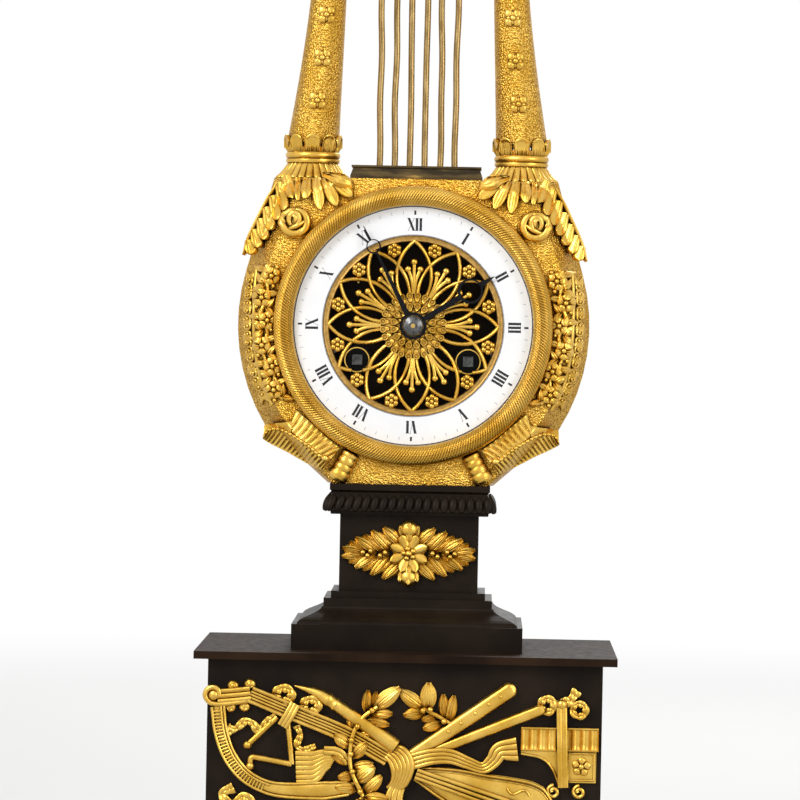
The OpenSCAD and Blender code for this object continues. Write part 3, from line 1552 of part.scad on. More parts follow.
// Hammer on its arbor, with a tail by the lifting pins and a head beside the bell
module hammer() {
    tail = turned(hammer_p, 3, bearing(hammer_p, pin_p));
    color(steel) at_dial() {
        rod_y(hammer_p, strong_r, front_y + move_t + shake, hammer_y + 1.4);
        rod_y(hammer_p, pivot_r, front_y + 0.2, 0);
        slab(pin_y + wheel_t + 0.4, wheel_t) {
            translate(hammer_p) circle(1.6);
            stroke(hammer_p, tail, 1.6);
        }
        slab(hammer_y, 1.4) {
            translate(hammer_p) circle(1.8);
            stroke(hammer_p, hammer_head_p, 1.6);
        }
        rod_y(hammer_head_p, hammer_head_r, hammer_y - 0.2, hammer_y + 3.6);
    }
}

plinth_top_plate();
plinth_front_panel();
plinth_back_panel();
plinth_side_panels();
plinth_base();
corner_posts();
feet();
trophy_mount();
pedestal_foot();
pedestal_dado();
pedestal_cornice();
pedestal_mount();
tie_rod();
case_nuts();
lyre_body();
crest_block();
strings();
lyre_arm_left();
lyre_arm_right();
arm_collars();
arm_rosettes();
crossbar();
shoulder_mounts();
lower_leaves();
side_vines();
bezel();
dial_plate();
enamel_ring();
dial_centre();
hour_hand();
minute_hand();
hand_nut();
front_plate();
back_plate();
movement_pillars();
movement_screws();
going_barrel();
going_arbor();
strike_barrel();
strike_arbor();
going_click();
strike_click();
intermediate_wheel();
centre_wheel();
third_wheel();
escape_wheel();
pallet_anchor();
suspension_cock();
pendulum();
rating_nut();
cannon_pinion();
minute_wheel();
hour_wheel();
strike_second_wheel();
count_wheel();
pin_wheel();
warning_wheel();
fly();
bell();
hammer();
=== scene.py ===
"""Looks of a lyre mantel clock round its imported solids.

Lengths are millimetres, with x to the right, z up and the front at -y.
"""
import json
import math

import bmesh
import bpy
import numpy as np
from mathutils import Matrix, Vector
from mathutils.bvhtree import BVHTree


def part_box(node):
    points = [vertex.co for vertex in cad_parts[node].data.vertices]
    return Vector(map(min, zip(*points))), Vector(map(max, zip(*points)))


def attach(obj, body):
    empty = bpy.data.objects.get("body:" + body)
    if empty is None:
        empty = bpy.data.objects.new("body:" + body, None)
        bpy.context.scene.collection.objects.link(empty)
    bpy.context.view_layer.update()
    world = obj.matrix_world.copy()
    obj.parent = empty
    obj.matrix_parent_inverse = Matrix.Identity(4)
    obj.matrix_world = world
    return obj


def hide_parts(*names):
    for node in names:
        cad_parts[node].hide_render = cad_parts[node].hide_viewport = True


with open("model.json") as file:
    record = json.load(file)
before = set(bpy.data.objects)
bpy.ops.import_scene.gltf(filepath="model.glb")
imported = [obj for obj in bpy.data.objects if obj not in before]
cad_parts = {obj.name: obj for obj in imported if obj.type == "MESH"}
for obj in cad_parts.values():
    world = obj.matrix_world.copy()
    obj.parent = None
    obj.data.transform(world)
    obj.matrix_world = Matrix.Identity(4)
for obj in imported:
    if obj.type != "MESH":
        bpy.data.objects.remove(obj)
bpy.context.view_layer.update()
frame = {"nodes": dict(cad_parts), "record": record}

MM = 0.001
TAU = 2 * math.pi
dice = np.random.default_rng(7)


def box_mm(node):
    low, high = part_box(node)
    return np.array(low) / MM, np.array(high) / MM


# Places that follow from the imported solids
BEZEL_LOW, BEZEL_HIGH = box_mm("bezel")
DIAL_Z = (BEZEL_LOW[2] + BEZEL_HIGH[2]) / 2
BEZEL_OUT = BEZEL_HIGH[0]
BODY_FRONT = box_mm("lyre_body")[0][1]
SHOULDER_Z = box_mm("lyre_body")[1][2] - DIAL_Z
ENAMEL_FRONT = box_mm("enamel_ring")[0][1]
ENAMEL_OUT = box_mm("enamel_ring")[1][0]
DADO_LOW, DADO_HIGH = box_mm("pedestal_dado")
PANEL_LOW, PANEL_HIGH = box_mm("plinth_front_panel")
CORNICE_LOW, CORNICE_HIGH = box_mm("pedestal_cornice")
CREST_TOP = box_mm("crest_block")[1][2]
BAR_LOW, BAR_HIGH = box_mm("crossbar")
RATCHET_FRONT = -15.6
STRING_PITCH = 6.05


# Materials

def new_material(name):
    made = bpy.data.materials.new(name)
    made.use_nodes = True
    tree = made.node_tree
    return made, tree, tree.nodes["Principled BSDF"]


def feed(tree, made, **inputs):
    """Sets a node's inputs to values or links them to sockets, with _ for a space in an input's name."""
    for key, value in inputs.items():
        by_place = key[0] == "i" and key[1:].isdigit()
        socket = made.inputs[int(key[1:]) if by_place else key.replace("_", " ")]
        if isinstance(value, bpy.types.NodeSocket):
            tree.links.new(value, socket)
        else:
            socket.default_value = value


def node(tree, kind, settings=None, **inputs):
    made = tree.nodes.new(kind)
    for key, value in (settings or {}).items():
        setattr(made, key, value)
    feed(tree, made, **inputs)
    return made


def ramp(tree, factor, stops):
    """A colour ramp from a list of (place, grey level or colour)."""
    made = node(tree, "ShaderNodeValToRGB", Fac=factor)
    elements = made.color_ramp.elements
    while len(elements) < len(stops):
        elements.new(0.5)
    for element, (place, colour) in zip(elements, stops):
        element.position = place
        element.color = (*colour, 1) if isinstance(colour, tuple) else (colour, colour, colour, 1)
    return made.outputs["Color"]


def noise(tree, scale, detail=4, stretch=(1, 1, 1)):
    where = node(tree, "ShaderNodeTexCoord").outputs["Object"]
    where = node(tree, "ShaderNodeMapping", Vector=where, Scale=stretch).outputs["Vector"]
    return node(tree, "ShaderNodeTexNoise", Vector=where, Scale=scale, Detail=detail).outputs["Fac"]


def mix(tree, factor, a, b):
    """A colour between a and b, which are colours or output sockets."""
    a, b = (value if isinstance(value, bpy.types.NodeSocket) else (*value, 1) for value in (a, b))
    return node(tree, "ShaderNodeMix", {"data_type": "RGBA"}, Factor=factor, i6=a, i7=b).outputs[2]


def bump(tree, strength, distance_mm, height):
    made = node(tree, "ShaderNodeBump", Strength=strength, Distance=distance_mm * MM, Height=height)
    return made.outputs["Normal"]


GOLD_LIGHT = (0.82, 0.53, 0.115)
GOLD_DEEP = (0.6, 0.34, 0.042)
# Painted shade for the hollows of the punched ground
GOLD_PIT_SHADE = (0.36, 0.18, 0.018)
# Painted shade that an occlusion node lays into the recesses and grooves of the gilding
GOLD_PAINTED_SHADE = (0.085, 0.036, 0.005)
PUNCH_SCALE = 1250


def gilt_material(name, stipple=0.0, rough=(0.24, 0.44), recess_mm=2.2, painted_shade=GOLD_PAINTED_SHADE, open_at=0.86):
    """Fire gilding: warm and paler patches, painted shade in the recesses, and a punched ground with painted
    shade in its pits where stipple is over 0.
    """
    made, tree, shader = new_material(name)
    colour = ramp(tree, noise(tree, 90), [(0.32, GOLD_DEEP), (0.68, GOLD_LIGHT)])
    normal = bump(tree, 0.25, 0.1, noise(tree, 2600, 2))
    if stipple:
        where = node(tree, "ShaderNodeTexCoord").outputs["Object"]
        cells = node(tree, "ShaderNodeTexVoronoi", {"feature": "F1"}, Vector=where, Scale=PUNCH_SCALE,
                     Randomness=0.85)
        # Painted shade: the colour darkens towards the edge of each punched cell, in its hollow
        unshaded_cells = ramp(tree, cells.outputs["Distance"], [(0.25, 1.0), (0.7, 0.0)])
        colour = mix(tree, unshaded_cells, GOLD_PIT_SHADE, colour)
        punched = node(tree, "ShaderNodeBump", {"invert": True}, Strength=stipple, Distance=0.4 * MM,
                       Height=cells.outputs["Distance"], Normal=normal)
        normal = punched.outputs["Normal"]
    # Painted shade: the occlusion node darkens the colour towards the painted shade in recesses and grooves
    recess = node(tree, "ShaderNodeAmbientOcclusion", {"samples": 8}, Distance=recess_mm * MM)
    unshaded_share = ramp(tree, recess.outputs["AO"], [(0.22, 0.0), (open_at, 1.0)])
    wear = ramp(tree, noise(tree, 420, 3), [(0.3, rough[0]), (0.7, rough[1])])
    colour = mix(tree, unshaded_share, painted_shade, colour)
    feed(tree, shader, Base_Color=colour, Metallic=1, Roughness=wear, Normal=normal)
    return made


def bronze_material(name, dark, light, rough, sheen=0.08):
    """Dark patina with brown clouds and a waxed sheen."""
    made, tree, shader = new_material(name)
    clouds = ramp(tree, noise(tree, 45, 6), [(0.35, dark), (0.72, light)])
    wear = ramp(tree, noise(tree, 300, 5), [(0.3, rough[0]), (0.75, rough[1])])
    feed(tree, shader, Base_Color=clouds, Metallic=0.2, Specular_IOR_Level=sheen, Roughness=wear,
         Normal=bump(tree, 0.12, 0.15, noise(tree, 900, 4)))
    return made


def brushed_material(name, dark, light, rough, stretch):
    """Polished or brushed metal with fine lines along one direction."""
    made, tree, shader = new_material(name)
    lines = noise(tree, 700, 3, stretch)
    wear = ramp(tree, lines, [(0.3, rough[0]), (0.7, rough[1])])
    feed(tree, shader, Base_Color=ramp(tree, lines, [(0.3, dark), (0.7, light)]), Metallic=1, Roughness=wear,
         Normal=bump(tree, 0.1, 0.05, lines))
    return made


def arbor_material(name, square_y):
    """Worn grey steel on the winding square, and near-black painted shade on the arbor behind it, deep in
    the key hole.
    """
    made, tree, shader = new_material(name)
    where = node(tree, "ShaderNodeTexCoord").outputs["Object"]
    depth = node(tree, "ShaderNodeSeparateXYZ", Vector=where).outputs["Y"]
    behind = node(tree, "ShaderNodeMapRange", Value=depth, From_Min=(square_y - 0.2) * MM,
                  From_Max=square_y * MM)
    worn = ramp(tree, noise(tree, 900, 4), [(0.3, (0.035, 0.037, 0.036)), (0.7, (0.12, 0.125, 0.12))])
    # Painted shade: the colour turns near-black behind the front of the ratchet
    colour = mix(tree, behind.outputs["Result"], worn, (0.01, 0.01, 0.01))
    feed(tree, shader, Base_Color=colour, Metallic=1, Roughness=0.38)
    return made


def worn_material(name):
    """Brass that has lost most of its gilding, dark with bright rubbed streaks."""
    made, tree, shader = new_material(name)
    rubbed = noise(tree, 160, 7, (0.5, 1, 2.2))
    colours = [(0.38, (0.03, 0.021, 0.01)), (0.6, (0.12, 0.08, 0.03)), (0.74, (0.5, 0.31, 0.08))]
    feed(tree, shader, Base_Color=ramp(tree, rubbed, colours), Metallic=0.8,
         Roughness=ramp(tree, rubbed, [(0.4, 0.5), (0.75, 0.25)]), Normal=bump(tree, 0.3, 0.2, rubbed))
    return made


def enamel_material(name):
    """Glossy fired white with the slightest clouding."""
    made, tree, shader = new_material(name)
    clouds = ramp(tree, noise(tree, 60, 3), [(0.3, (0.8, 0.81, 0.83)), (0.7, (0.87, 0.87, 0.87))])
    feed(tree, shader, Base_Color=clouds, Roughness=0.16, Coat_Weight=0.5, Coat_Roughness=0.06,
         Normal=bump(tree, 0.05, 0.2, noise(tree, 110, 2)))
    return made


def paint_material(name, colour, rough):
    """Fired paint of the numerals, slightly uneven."""
    made, tree, shader = new_material(name)
    lighter = tuple(min(1, 1.6 * c + 0.01) for c in colour)
    uneven = ramp(tree, noise(tree, 900, 3), [(0.35, colour), (0.8, lighter)])
    feed(tree, shader, Base_Color=uneven, Roughness=rough)
    return made


GILT = gilt_material("gilt_burnished")
GILT_MATT = gilt_material("gilt_stippled", stipple=0.9, rough=(0.3, 0.5))
GILT_FINE = gilt_material("gilt_fine", rough=(0.22, 0.38), recess_mm=1.6)
# The turned bezel gets painted shade in its fine grooves from the occlusion node
GILT_TURNED = gilt_material("gilt_turned", rough=(0.25, 0.4), recess_mm=1.0, painted_shade=(0.13, 0.055, 0.006),
                            open_at=0.97)
BRONZE = bronze_material("patinated_bronze", (0.009, 0.006, 0.0045), (0.02, 0.013, 0.008), (0.34, 0.54))
BRONZE_BROWN = bronze_material("patinated_bronze_brown", (0.014, 0.008, 0.005), (0.034, 0.018, 0.01),
                               (0.5, 0.7), sheen=0.03)
BRASS = brushed_material("brass", (0.5, 0.33, 0.1), (0.68, 0.47, 0.17), (0.22, 0.4), (1, 6, 6))
STEEL = brushed_material("steel", (0.24, 0.24, 0.25), (0.42, 0.42, 0.43), (0.18, 0.34), (6, 1, 1))
BLACK_STEEL = brushed_material("black_steel", (0.008, 0.008, 0.009), (0.022, 0.022, 0.024), (0.25, 0.4),
                               (4, 1, 4))
STRING_BRASS = brushed_material("string_brass", (0.22, 0.14, 0.05), (0.42, 0.29, 0.12), (0.25, 0.4),
                                (1, 1, 0.2))
DARK_STEEL = brushed_material("dark_steel", (0.05, 0.05, 0.05), (0.17, 0.17, 0.17), (0.2, 0.4), (3, 1, 1))
# Near-black brass: painted shadow for the movement's plates and wheels seen through the pierced centre
SHADOW_BRASS = brushed_material("brass_in_painted_shadow", (0.006, 0.005, 0.004), (0.014, 0.011, 0.008), (0.4, 0.6),
                                (1, 6, 6))
ARBOR_STEEL = arbor_material("arbor_steel", RATCHET_FRONT)
RIM_BRASS = brushed_material("rim_brass", (0.36, 0.2, 0.05), (0.5, 0.31, 0.09), (0.3, 0.5), (1, 1, 1))
WORN = worn_material("worn_brass")
ENAMEL = enamel_material("white_enamel")
BLACK_PAINT = paint_material("numeral_black", (0.008, 0.008, 0.01), 0.25)
GREY_PAINT = paint_material("minute_grey", (0.3, 0.32, 0.36), 0.3)


# Mesh building

def grid_faces(rows, cols, wrap_rows=False, wrap_cols=False):
    i = np.arange(rows if wrap_rows else rows - 1)[:, None]
    j = np.arange(cols if wrap_cols else cols - 1)[None, :]
    nxt_i, nxt_j = (i + 1) % rows, (j + 1) % cols
    corners = [i * cols + j, i * cols + nxt_j, nxt_i * cols + nxt_j, nxt_i * cols + j]
    return np.stack(np.broadcast_arrays(*corners), -1).reshape(-1, 4)


class Shape:
    """Collects the closed surfaces of one piece, in millimetres. Its relief lies on its wall."""

    def __init__(self, wall=None):
        self.points, self.faces, self.count = [], [], 0
        self.wall = wall

    def add(self, points, faces):
        self.points.append(np.asarray(points, float).reshape(-1, 3))
        self.faces += [[int(k) + self.count for k in face] for face in faces]
        self.count += len(self.points[-1])

    def tube(self, rings, closed=False):
        """Rings of points joined one to the next, with flat ends unless the path is closed."""
        rings = np.asarray(rings, float)
        rows, cols = rings.shape[:2]
        faces = [list(f) for f in grid_faces(rows, cols, closed, True)]
        if not closed:
            faces += [list(range(cols)), list(range((rows - 1) * cols, rows * cols))]
        self.add(rings, faces)

    def shell(self, top, bottom):
        """A sheet with thickness: a top and a bottom grid joined round their edges."""
        rows, cols = top.shape[:2]
        size = rows * cols
        upper = grid_faces(rows, cols)
        edge = [*range(cols), *range(2 * cols - 1, size, cols), *range(size - 2, size - cols - 1, -1),
                *range(size - 2 * cols, 0, -cols)]
        walls = [[a, b, b + size, a + size] for a, b in zip(edge, edge[1:] + edge[:1])]
        faces = [list(f) for f in upper] + [list(f[::-1] + size) for f in upper] + walls
        self.add(np.concatenate([top.reshape(-1, 3), bottom.reshape(-1, 3)]), faces)

    def mirrored(self):
        """The piece and its mirror image across the middle plane."""
        points, faces = np.vstack(self.points), list(self.faces)
        self.add(points * [-1, 1, 1], [f[::-1] for f in faces])
        return self

    def make(self, name, slot="gilt_bronze", material=GILT, body="case", replaces=(), sharp=45):
        mesh = bpy.data.meshes.new(name)
        mesh.from_pydata((np.vstack(self.points) * MM).tolist(), [], self.faces)
        work = bmesh.new()
        work.from_mesh(mesh)
        bmesh.ops.remove_doubles(work, verts=work.verts, dist=1e-7)
        bmesh.ops.recalc_face_normals(work, faces=work.faces)
        work.to_mesh(mesh)
        work.free()
        mesh.polygons.foreach_set("use_smooth", [True] * len(mesh.polygons))
        mesh.set_sharp_from_angle(angle=math.radians(sharp))
        mesh.materials.append(material)
        made = bpy.data.objects.new(name, mesh)
        bpy.context.scene.collection.objects.link(made)
        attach(made, body)
        if replaces:
            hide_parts(*replaces)
        return made


def spline(points, count):
    """Evenly spread points on a smooth curve through the given ones."""
    p = np.asarray(points, float)
    p = np.vstack([2 * p[0] - p[1], p, 2 * p[-1] - p[-2]])
    fine = []
    for a, b, c, d in zip(p, p[1:], p[2:], p[3:]):
        t = np.linspace(0, 1, 24, endpoint=False)[:, None]
        fine.append(b + 0.5 * t * (c - a + t * (2 * a - 5 * b + 4 * c - d + t * (3 * (b - c) + d - a))))
    fine = np.vstack([*fine, p[-2:-1]])
    reach = np.concatenate([[0], np.cumsum(np.linalg.norm(np.diff(fine, axis=0), axis=1))])
    wanted = np.linspace(0, reach[-1], count)
    return np.stack([np.interp(wanted, reach, fine[:, k]) for k in range(fine.shape[1])], 1)


def polar(degrees):
    """Unit vector at an angle from +x."""
    a = math.radians(degrees)
    return np.array([math.cos(a), math.sin(a)])


def unit(v):
    return v / np.maximum(np.linalg.norm(v, axis=-1, keepdims=True), 1e-9)


def sweep(shape, path, section, up=(0, -1, 0), scale=1.0, closed=False):
    """Sweeps a section of (across, up) points along a 3-D path; scale may vary along the path."""
    path = np.asarray(path, float)
    ahead = np.roll(path, -1, 0) - np.roll(path, 1, 0) if closed else np.gradient(path, axis=0)
    along = unit(ahead)
    up = np.broadcast_to(np.asarray(up, float), path.shape)
    side = unit(np.cross(along, up))
    up = np.cross(side, along)
    scale = np.broadcast_to(np.asarray(scale, float), (len(path),))[:, None, None]
    section = np.asarray(section, float)
    offset = section[None, :, :1] * side[:, None] + section[None, :, 1:] * up[:, None]
    shape.tube(path[:, None] + scale * offset, closed)


def along_across(line):
    """Unit vectors along a flat line and across it, to its left."""
    way = unit(np.gradient(line, axis=0))
    return way, np.stack([-way[:, 1], way[:, 0]], 1)


def round_section(r, count=10, flat=1.0):
    a = np.arange(count) * TAU / count
    return np.stack([r * np.cos(a), r * flat * np.sin(a)], 1)


def turn(shape, centre, profile, steps, axis=(0, 0, 1), wave=None):
    """Turns a profile of (radius, height) about an axis; wave(height index, angle) changes the radius."""
    axis = np.asarray(axis, float)
    first = unit(np.cross(axis, (0.3, 0.7, 0.2)))
    second = np.cross(axis, first)
    a = np.arange(steps) * TAU / steps
    rings = []
    for k, (r, h) in enumerate(profile):
        reach = r + (wave(k, a) if wave else 0 * a)
        rings.append(np.asarray(centre) + h * axis
                     + reach[:, None] * (np.cos(a)[:, None] * first + np.sin(a)[:, None] * second))
    shape.tube(rings)


def ball(shape, place, r, flat=1.0, steps=12):
    """A ball at a place (x, z, height) on the shape's wall."""
    a = np.linspace(-math.pi / 2 + 0.12, math.pi / 2 - 0.12, 7)
    profile = [(r * math.cos(k), flat * r * math.sin(k)) for k in a]
    turn(shape, shape.wall.lay(np.array(place)), profile, steps, axis=(0, -1, 0))


def trail(shape, path, section, **more):
    """Sweeps a section along (x, z, height) points on the shape's wall."""
    sweep(shape, shape.wall.lay(path), section, **more)


# Surfaces that carry relief: each lays (x, z, height) points on a wall or on the body

class Wall:
    """A flat front at depth y, with its own origin of x and z."""

    def __init__(self, y, z=0.0, x=0.0):
        self.y, self.z, self.x = y, z, x

    def lay(self, p):
        return np.stack([p[..., 0] + self.x, self.y - p[..., 2], p[..., 1] + self.z], -1)


class BodyFront:
    """The front and sloping sides of the lyre's body, found by rays from the front.

    A limit keeps laid points within that depth behind the face. Upright relief rises straight forwards.
    """

    def __init__(self, limit=30.0, upright=False):
        mesh = frame["nodes"]["lyre_body"].data
        self.tree = BVHTree.FromPolygons([v.co for v in mesh.vertices], [p.vertices for p in mesh.polygons])
        self.known = {}
        self.limit = limit
        self.upright = upright

    def hit(self, x, z):
        key = (round(x, 2), round(z, 2))
        if key not in self.known:
            for pull in np.arange(1, 0.5, -0.01):
                start = Vector((pull * x * MM, -0.2, (pull * z + DIAL_Z) * MM))
                place, normal, _, _ = self.tree.ray_cast(start, Vector((0, 1, 0)))
                if place is not None and place.y < 0.002:
                    break
            depth = min(place.y / MM, BODY_FRONT + self.limit)
            way = (0, -1, 0) if self.upright else (normal[0] / 2, (normal[1] - 1) / 2, normal[2] / 2)
            self.known[key] = (depth, *way)
        return self.known[key]

    def lay(self, p):
        flat = p.reshape(-1, 3)
        found = np.array([self.hit(x, z) for x, z, _ in flat])
        out = np.stack([flat[:, 0], found[:, 0], flat[:, 1] + DIAL_Z], 1)
        return (out + unit(found[:, 1:]) * flat[:, 2:]).reshape(p.shape)


BODY = BodyFront()
FLANK = BodyFront(limit=6.0)
UPRIGHT = BodyFront(limit=6.0, upright=True)
DIAL = Wall(ENAMEL_FRONT, DIAL_Z)
DADO = Wall(DADO_LOW[1], (DADO_LOW[2] + DADO_HIGH[2]) / 2)
PANEL = Wall(PANEL_LOW[1], PANEL_HIGH[2])


def relief(shape, points, thick=0.9):
    """A sheet of relief: its top at the given heights and its back a little lower."""
    low = points.copy()
    low[..., 2] -= thick
    shape.shell(shape.wall.lay(points), shape.wall.lay(low))


def leaf(base, angle, length, width, lift=1.2, tip=0.0, bend=0.0, belly=0.8, start=0.0, rows=13):
    """A grid of a leaf from its base along an angle; belly under 1 puts the widest place near the base."""
    t = np.linspace(0, 1, rows)[:, None]
    a = np.linspace(-1, 1, 9)[None, :]
    half = width / 2 * np.maximum(np.sin(math.pi * np.minimum(t, 0.995) ** belly), 0.05)
    heading = np.radians(angle + bend * t[:, 0])
    step = length / (rows - 1)
    x = base[0] + np.concatenate([[0], np.cumsum(np.cos(heading[:-1]) * step)])
    z = base[1] + np.concatenate([[0], np.cumsum(np.sin(heading[:-1]) * step)])
    crown = (1 - np.abs(a) ** 2.2) * np.maximum(np.sin(math.pi * t ** 0.7), 0) ** 0.6
    crease = 0.45 * np.exp(-((a / 0.16) ** 2)) * (1 - t)
    h = start + lift * (crown - crease) + tip * t ** 2
    grid_x = x[:, None] - np.sin(heading)[:, None] * half * a
    grid_z = z[:, None] + np.cos(heading)[:, None] * half * a
    return np.stack([grid_x, grid_z, h + 0 * a], -1)


def sheet(rail_a, rail_b, count, across, height):
    """A grid between two rails; height(u, v) is its relief, with u along the rails and v across."""
    a, b = spline(rail_a, count), spline(rail_b, count)
    u = np.linspace(0, 1, count)[:, None]
    v = np.linspace(0, 1, across)[None, :]
    flat = a[:, None] * (1 - v[..., None]) + b[:, None] * v[..., None]
    return np.concatenate([flat, (height(u, v) + 0 * u * v)[..., None]], -1)


def ridge(x):
    """Round ridges with narrow grooves between, one per whole number."""
    return np.abs(np.sin(math.pi * x)) ** 0.7


def blossom(shape, centre, r, petals, lift=1.2, start=0.0, turn_by=0.0, eye=0.3, width=1.15):
    """A flower of cupped petals round an eye."""
    for k in range(petals):
        a = 360 * k / petals + turn_by
        relief(shape, leaf(centre, a, r, width * TAU * r / petals / 1.6, lift, belly=1.6, start=start,
                                 tip=0.25 * lift, rows=8))
    if eye:
        ball(shape, (*centre, start + 0.7 * lift), eye * r, flat=0.8)


def band(shape, points, section, count=40, scale=1.0, lift=0.0):
    """A strip or tube along a curve on a wall; points are (x, z) or (x, z, height)."""
    p = np.asarray(points, float)
    if p.shape[1] == 2:
        p = np.concatenate([p, np.full((len(p), 1), lift)], 1)
    trail(shape, spline(p, count), section, scale=scale)


def strip_section(w, h, grooves=0):
    """A low strip with a round back, or with raised strings when grooves is over 0."""
    a = np.linspace(-1, 1, 9 if not grooves else 10 * grooves + 1)
    round_back = (1 - a ** 4) ** 0.5
    strings = 0.74 + 0.26 * np.abs(np.sin(math.pi * grooves * (a + 1) / 2)) ** 0.6
    top = strings if grooves else round_back
    return np.array([[w / 2 * k, h * t] for k, t in zip(a, top)] + [[w / 2, -0.6], [-w / 2, -0.6]])


# Dial

def make_bezel():
    """Half-round bezel with engine-turned lines that wind outwards."""
    lines, per_line = 290, 9
    rise = (BEZEL_OUT - ENAMEL_OUT) / 2
    mid_r, wind_mm, depth = BEZEL_OUT - rise, 6.5, 0.6
    front, back = BEZEL_LOW[1], BEZEL_HIGH[1]
    a = np.linspace(math.pi, 0, 34)
    arc = np.stack([mid_r + rise * np.cos(a), front + rise * (1 - np.sin(a))], 1)
    theta = np.arange(lines * per_line) * TAU / (lines * per_line)
    share = np.linspace(0, 1, len(a))[None, :]
    phase = lines * (theta[:, None] - wind_mm * share / mid_r)
    notch = 0.12 * (1 - np.abs(np.sin(11 * math.pi * share)))
    cut = depth * (1 - np.abs(np.sin(phase / 2)) ** 1.3) + notch
    cut = cut * np.sin(a)[None, :] ** 0.4
    r = arc[None, :, 0] - cut * np.cos(a)[None, :]
    y = arc[None, :, 1] + cut * np.sin(a)[None, :]
    rings = np.stack([r * np.sin(theta)[:, None], y, r * np.cos(theta)[:, None] + DIAL_Z], -1)
    skirt = [(BEZEL_OUT, back), (BEZEL_OUT - 1, back), (BEZEL_OUT - 1, ENAMEL_FRONT - 0.3),
             (ENAMEL_OUT + 0.1, ENAMEL_FRONT - 0.3)]
    rest = np.stack([np.stack([r0 * np.sin(theta), 0 * theta + y0, r0 * np.cos(theta) + DIAL_Z], -1)
                     for r0, y0 in skirt], 1)
    shape = Shape()
    shape.tube(np.concatenate([rings, rest], 1), closed=True)
    shape.make("engine_turned_bezel", "gilt_bronze", GILT_TURNED, replaces=["bezel"], sharp=60)


NUMERALS = ["XII", "I", "II", "III", "IIII", "V", "VI", "VII", "VIII", "IX", "X", "XI"]
NUMERAL_FOOT, NUMERAL_TOP = 37.6, 42.6
PAINT_H = 0.05
ADVANCE = {"I": 1.5, "V": 2.9, "X": 3.0}
THICK, THIN, SERIF_H, SERIF_W = 0.98, 0.13, 0.16, 0.3


def on_ring(angle, across, radius, height):
    """A point on the dial: clock angle in degrees, distance across clockwise, radius and height."""
    a = math.radians(angle)
    x = radius * math.sin(a) + across * math.cos(a)
    z = radius * math.cos(a) - across * math.sin(a)
    return [x, z, height]


def mark(shape, angle, foot_x, top_x, width, low, high):
    """One painted stroke from its foot to its top."""
    rows = []
    for t in np.linspace(0, 1, 5):
        x, r = foot_x + (top_x - foot_x) * t, low + (high - low) * t
        rows.append([on_ring(angle, x + side * width / 2, r, PAINT_H) for side in (-1, 1)])
    relief(shape, np.array(rows), thick=PAINT_H + 0.02)


def strokes_of(letter, mid):
    """Strokes of a letter of a numeral, as (foot, top, width)."""
    half = ADVANCE[letter] / 2 - 0.35
    if letter == "I":
        return [(mid, mid, THICK)]
    if letter == "V":
        return [(mid + 0.1, mid - half + 0.2, THICK), (mid + 0.1, mid + half, THIN)]
    return [(mid + half - 0.1, mid - half + 0.1, THICK), (mid - half, mid + half, THIN)]


def paint_numeral(ink_and_shadow, angle, word):
    """A numeral with thick and thin strokes and fine serifs."""
    at = -sum(ADVANCE[c] for c in word) / 2
    for c in word:
        for foot, top, w in strokes_of(c, at + ADVANCE[c] / 2):
            mark(ink_and_shadow, angle, foot, top, w, NUMERAL_FOOT, NUMERAL_TOP)
            mark(ink_and_shadow, angle, top, top, w + SERIF_W, NUMERAL_TOP - SERIF_H, NUMERAL_TOP)
            if c != "V":
                mark(ink_and_shadow, angle, foot, foot, w + SERIF_W, NUMERAL_FOOT, NUMERAL_FOOT + SERIF_H)
        at += ADVANCE[c]


def make_numerals():
    """Roman numerals, five-minute bars, pale minute marks and a painted shadow line at each edge of the
    enamel.
    """
    ink_and_shadow, pale = Shape(DIAL), Shape(DIAL)
    for hour, word in enumerate(NUMERALS):
        paint_numeral(ink_and_shadow, 30 * hour, word)
        mark(ink_and_shadow, 30 * hour, 0, 0, 0.78, 43.9, 45.6)
    for minute in range(60):
        if minute % 5:
            mark(pale, 6 * minute, 0, 0, 0.24, 44.2, 45.5)
    # Painted shadow: a thin black ring where the enamel meets the fret and where it meets the bezel
    for low, high in ((35.9, 36.08), (ENAMEL_OUT - 0.5, ENAMEL_OUT - 0.1)):
        ring_on(ink_and_shadow, (0, 0), [(low, -0.02), (low, PAINT_H), (high, PAINT_H), (high, -0.02)], 160)
    ink_and_shadow.make("numerals", "black_steel", BLACK_PAINT)
    pale.make("minute_marks", "black_steel", GREY_PAINT)


KEY_HOLES = [(22.0, -13.8), (-22.0, -13.8)]
KEY_HOLE_R = 4.6


def clear_runs(points):
    """Splits a path where it crosses a key hole."""
    gaps = [np.hypot(points[:, 0] - x, points[:, 1] - z) for x, z in KEY_HOLES]
    away = np.min(gaps, 0) > KEY_HOLE_R + 0.1
    cuts = np.flatnonzero(np.diff(away.astype(int))) + 1
    runs = zip(np.split(points, cuts), np.split(away, cuts))
    return [run for run, keep in runs if keep[0] and len(run) > 3]


def ring_on(shape, centre, profile, steps=64):
    """A ring about a place on a wall; the profile lists (radius, height)."""
    a = np.arange(steps) * TAU / steps
    rings = [shape.wall.lay(np.stack([centre[0] + r * np.sin(a), centre[1] + r * np.cos(a), 0 * a + h], -1))
             for r, h in profile]
    shape.tube(np.stack(rings, 1), closed=True)


DAISY_R = 13.6
PETAL_HALF_L, PETAL_HALF_W, PETAL_MID = 14.0, 6.9, 19.6


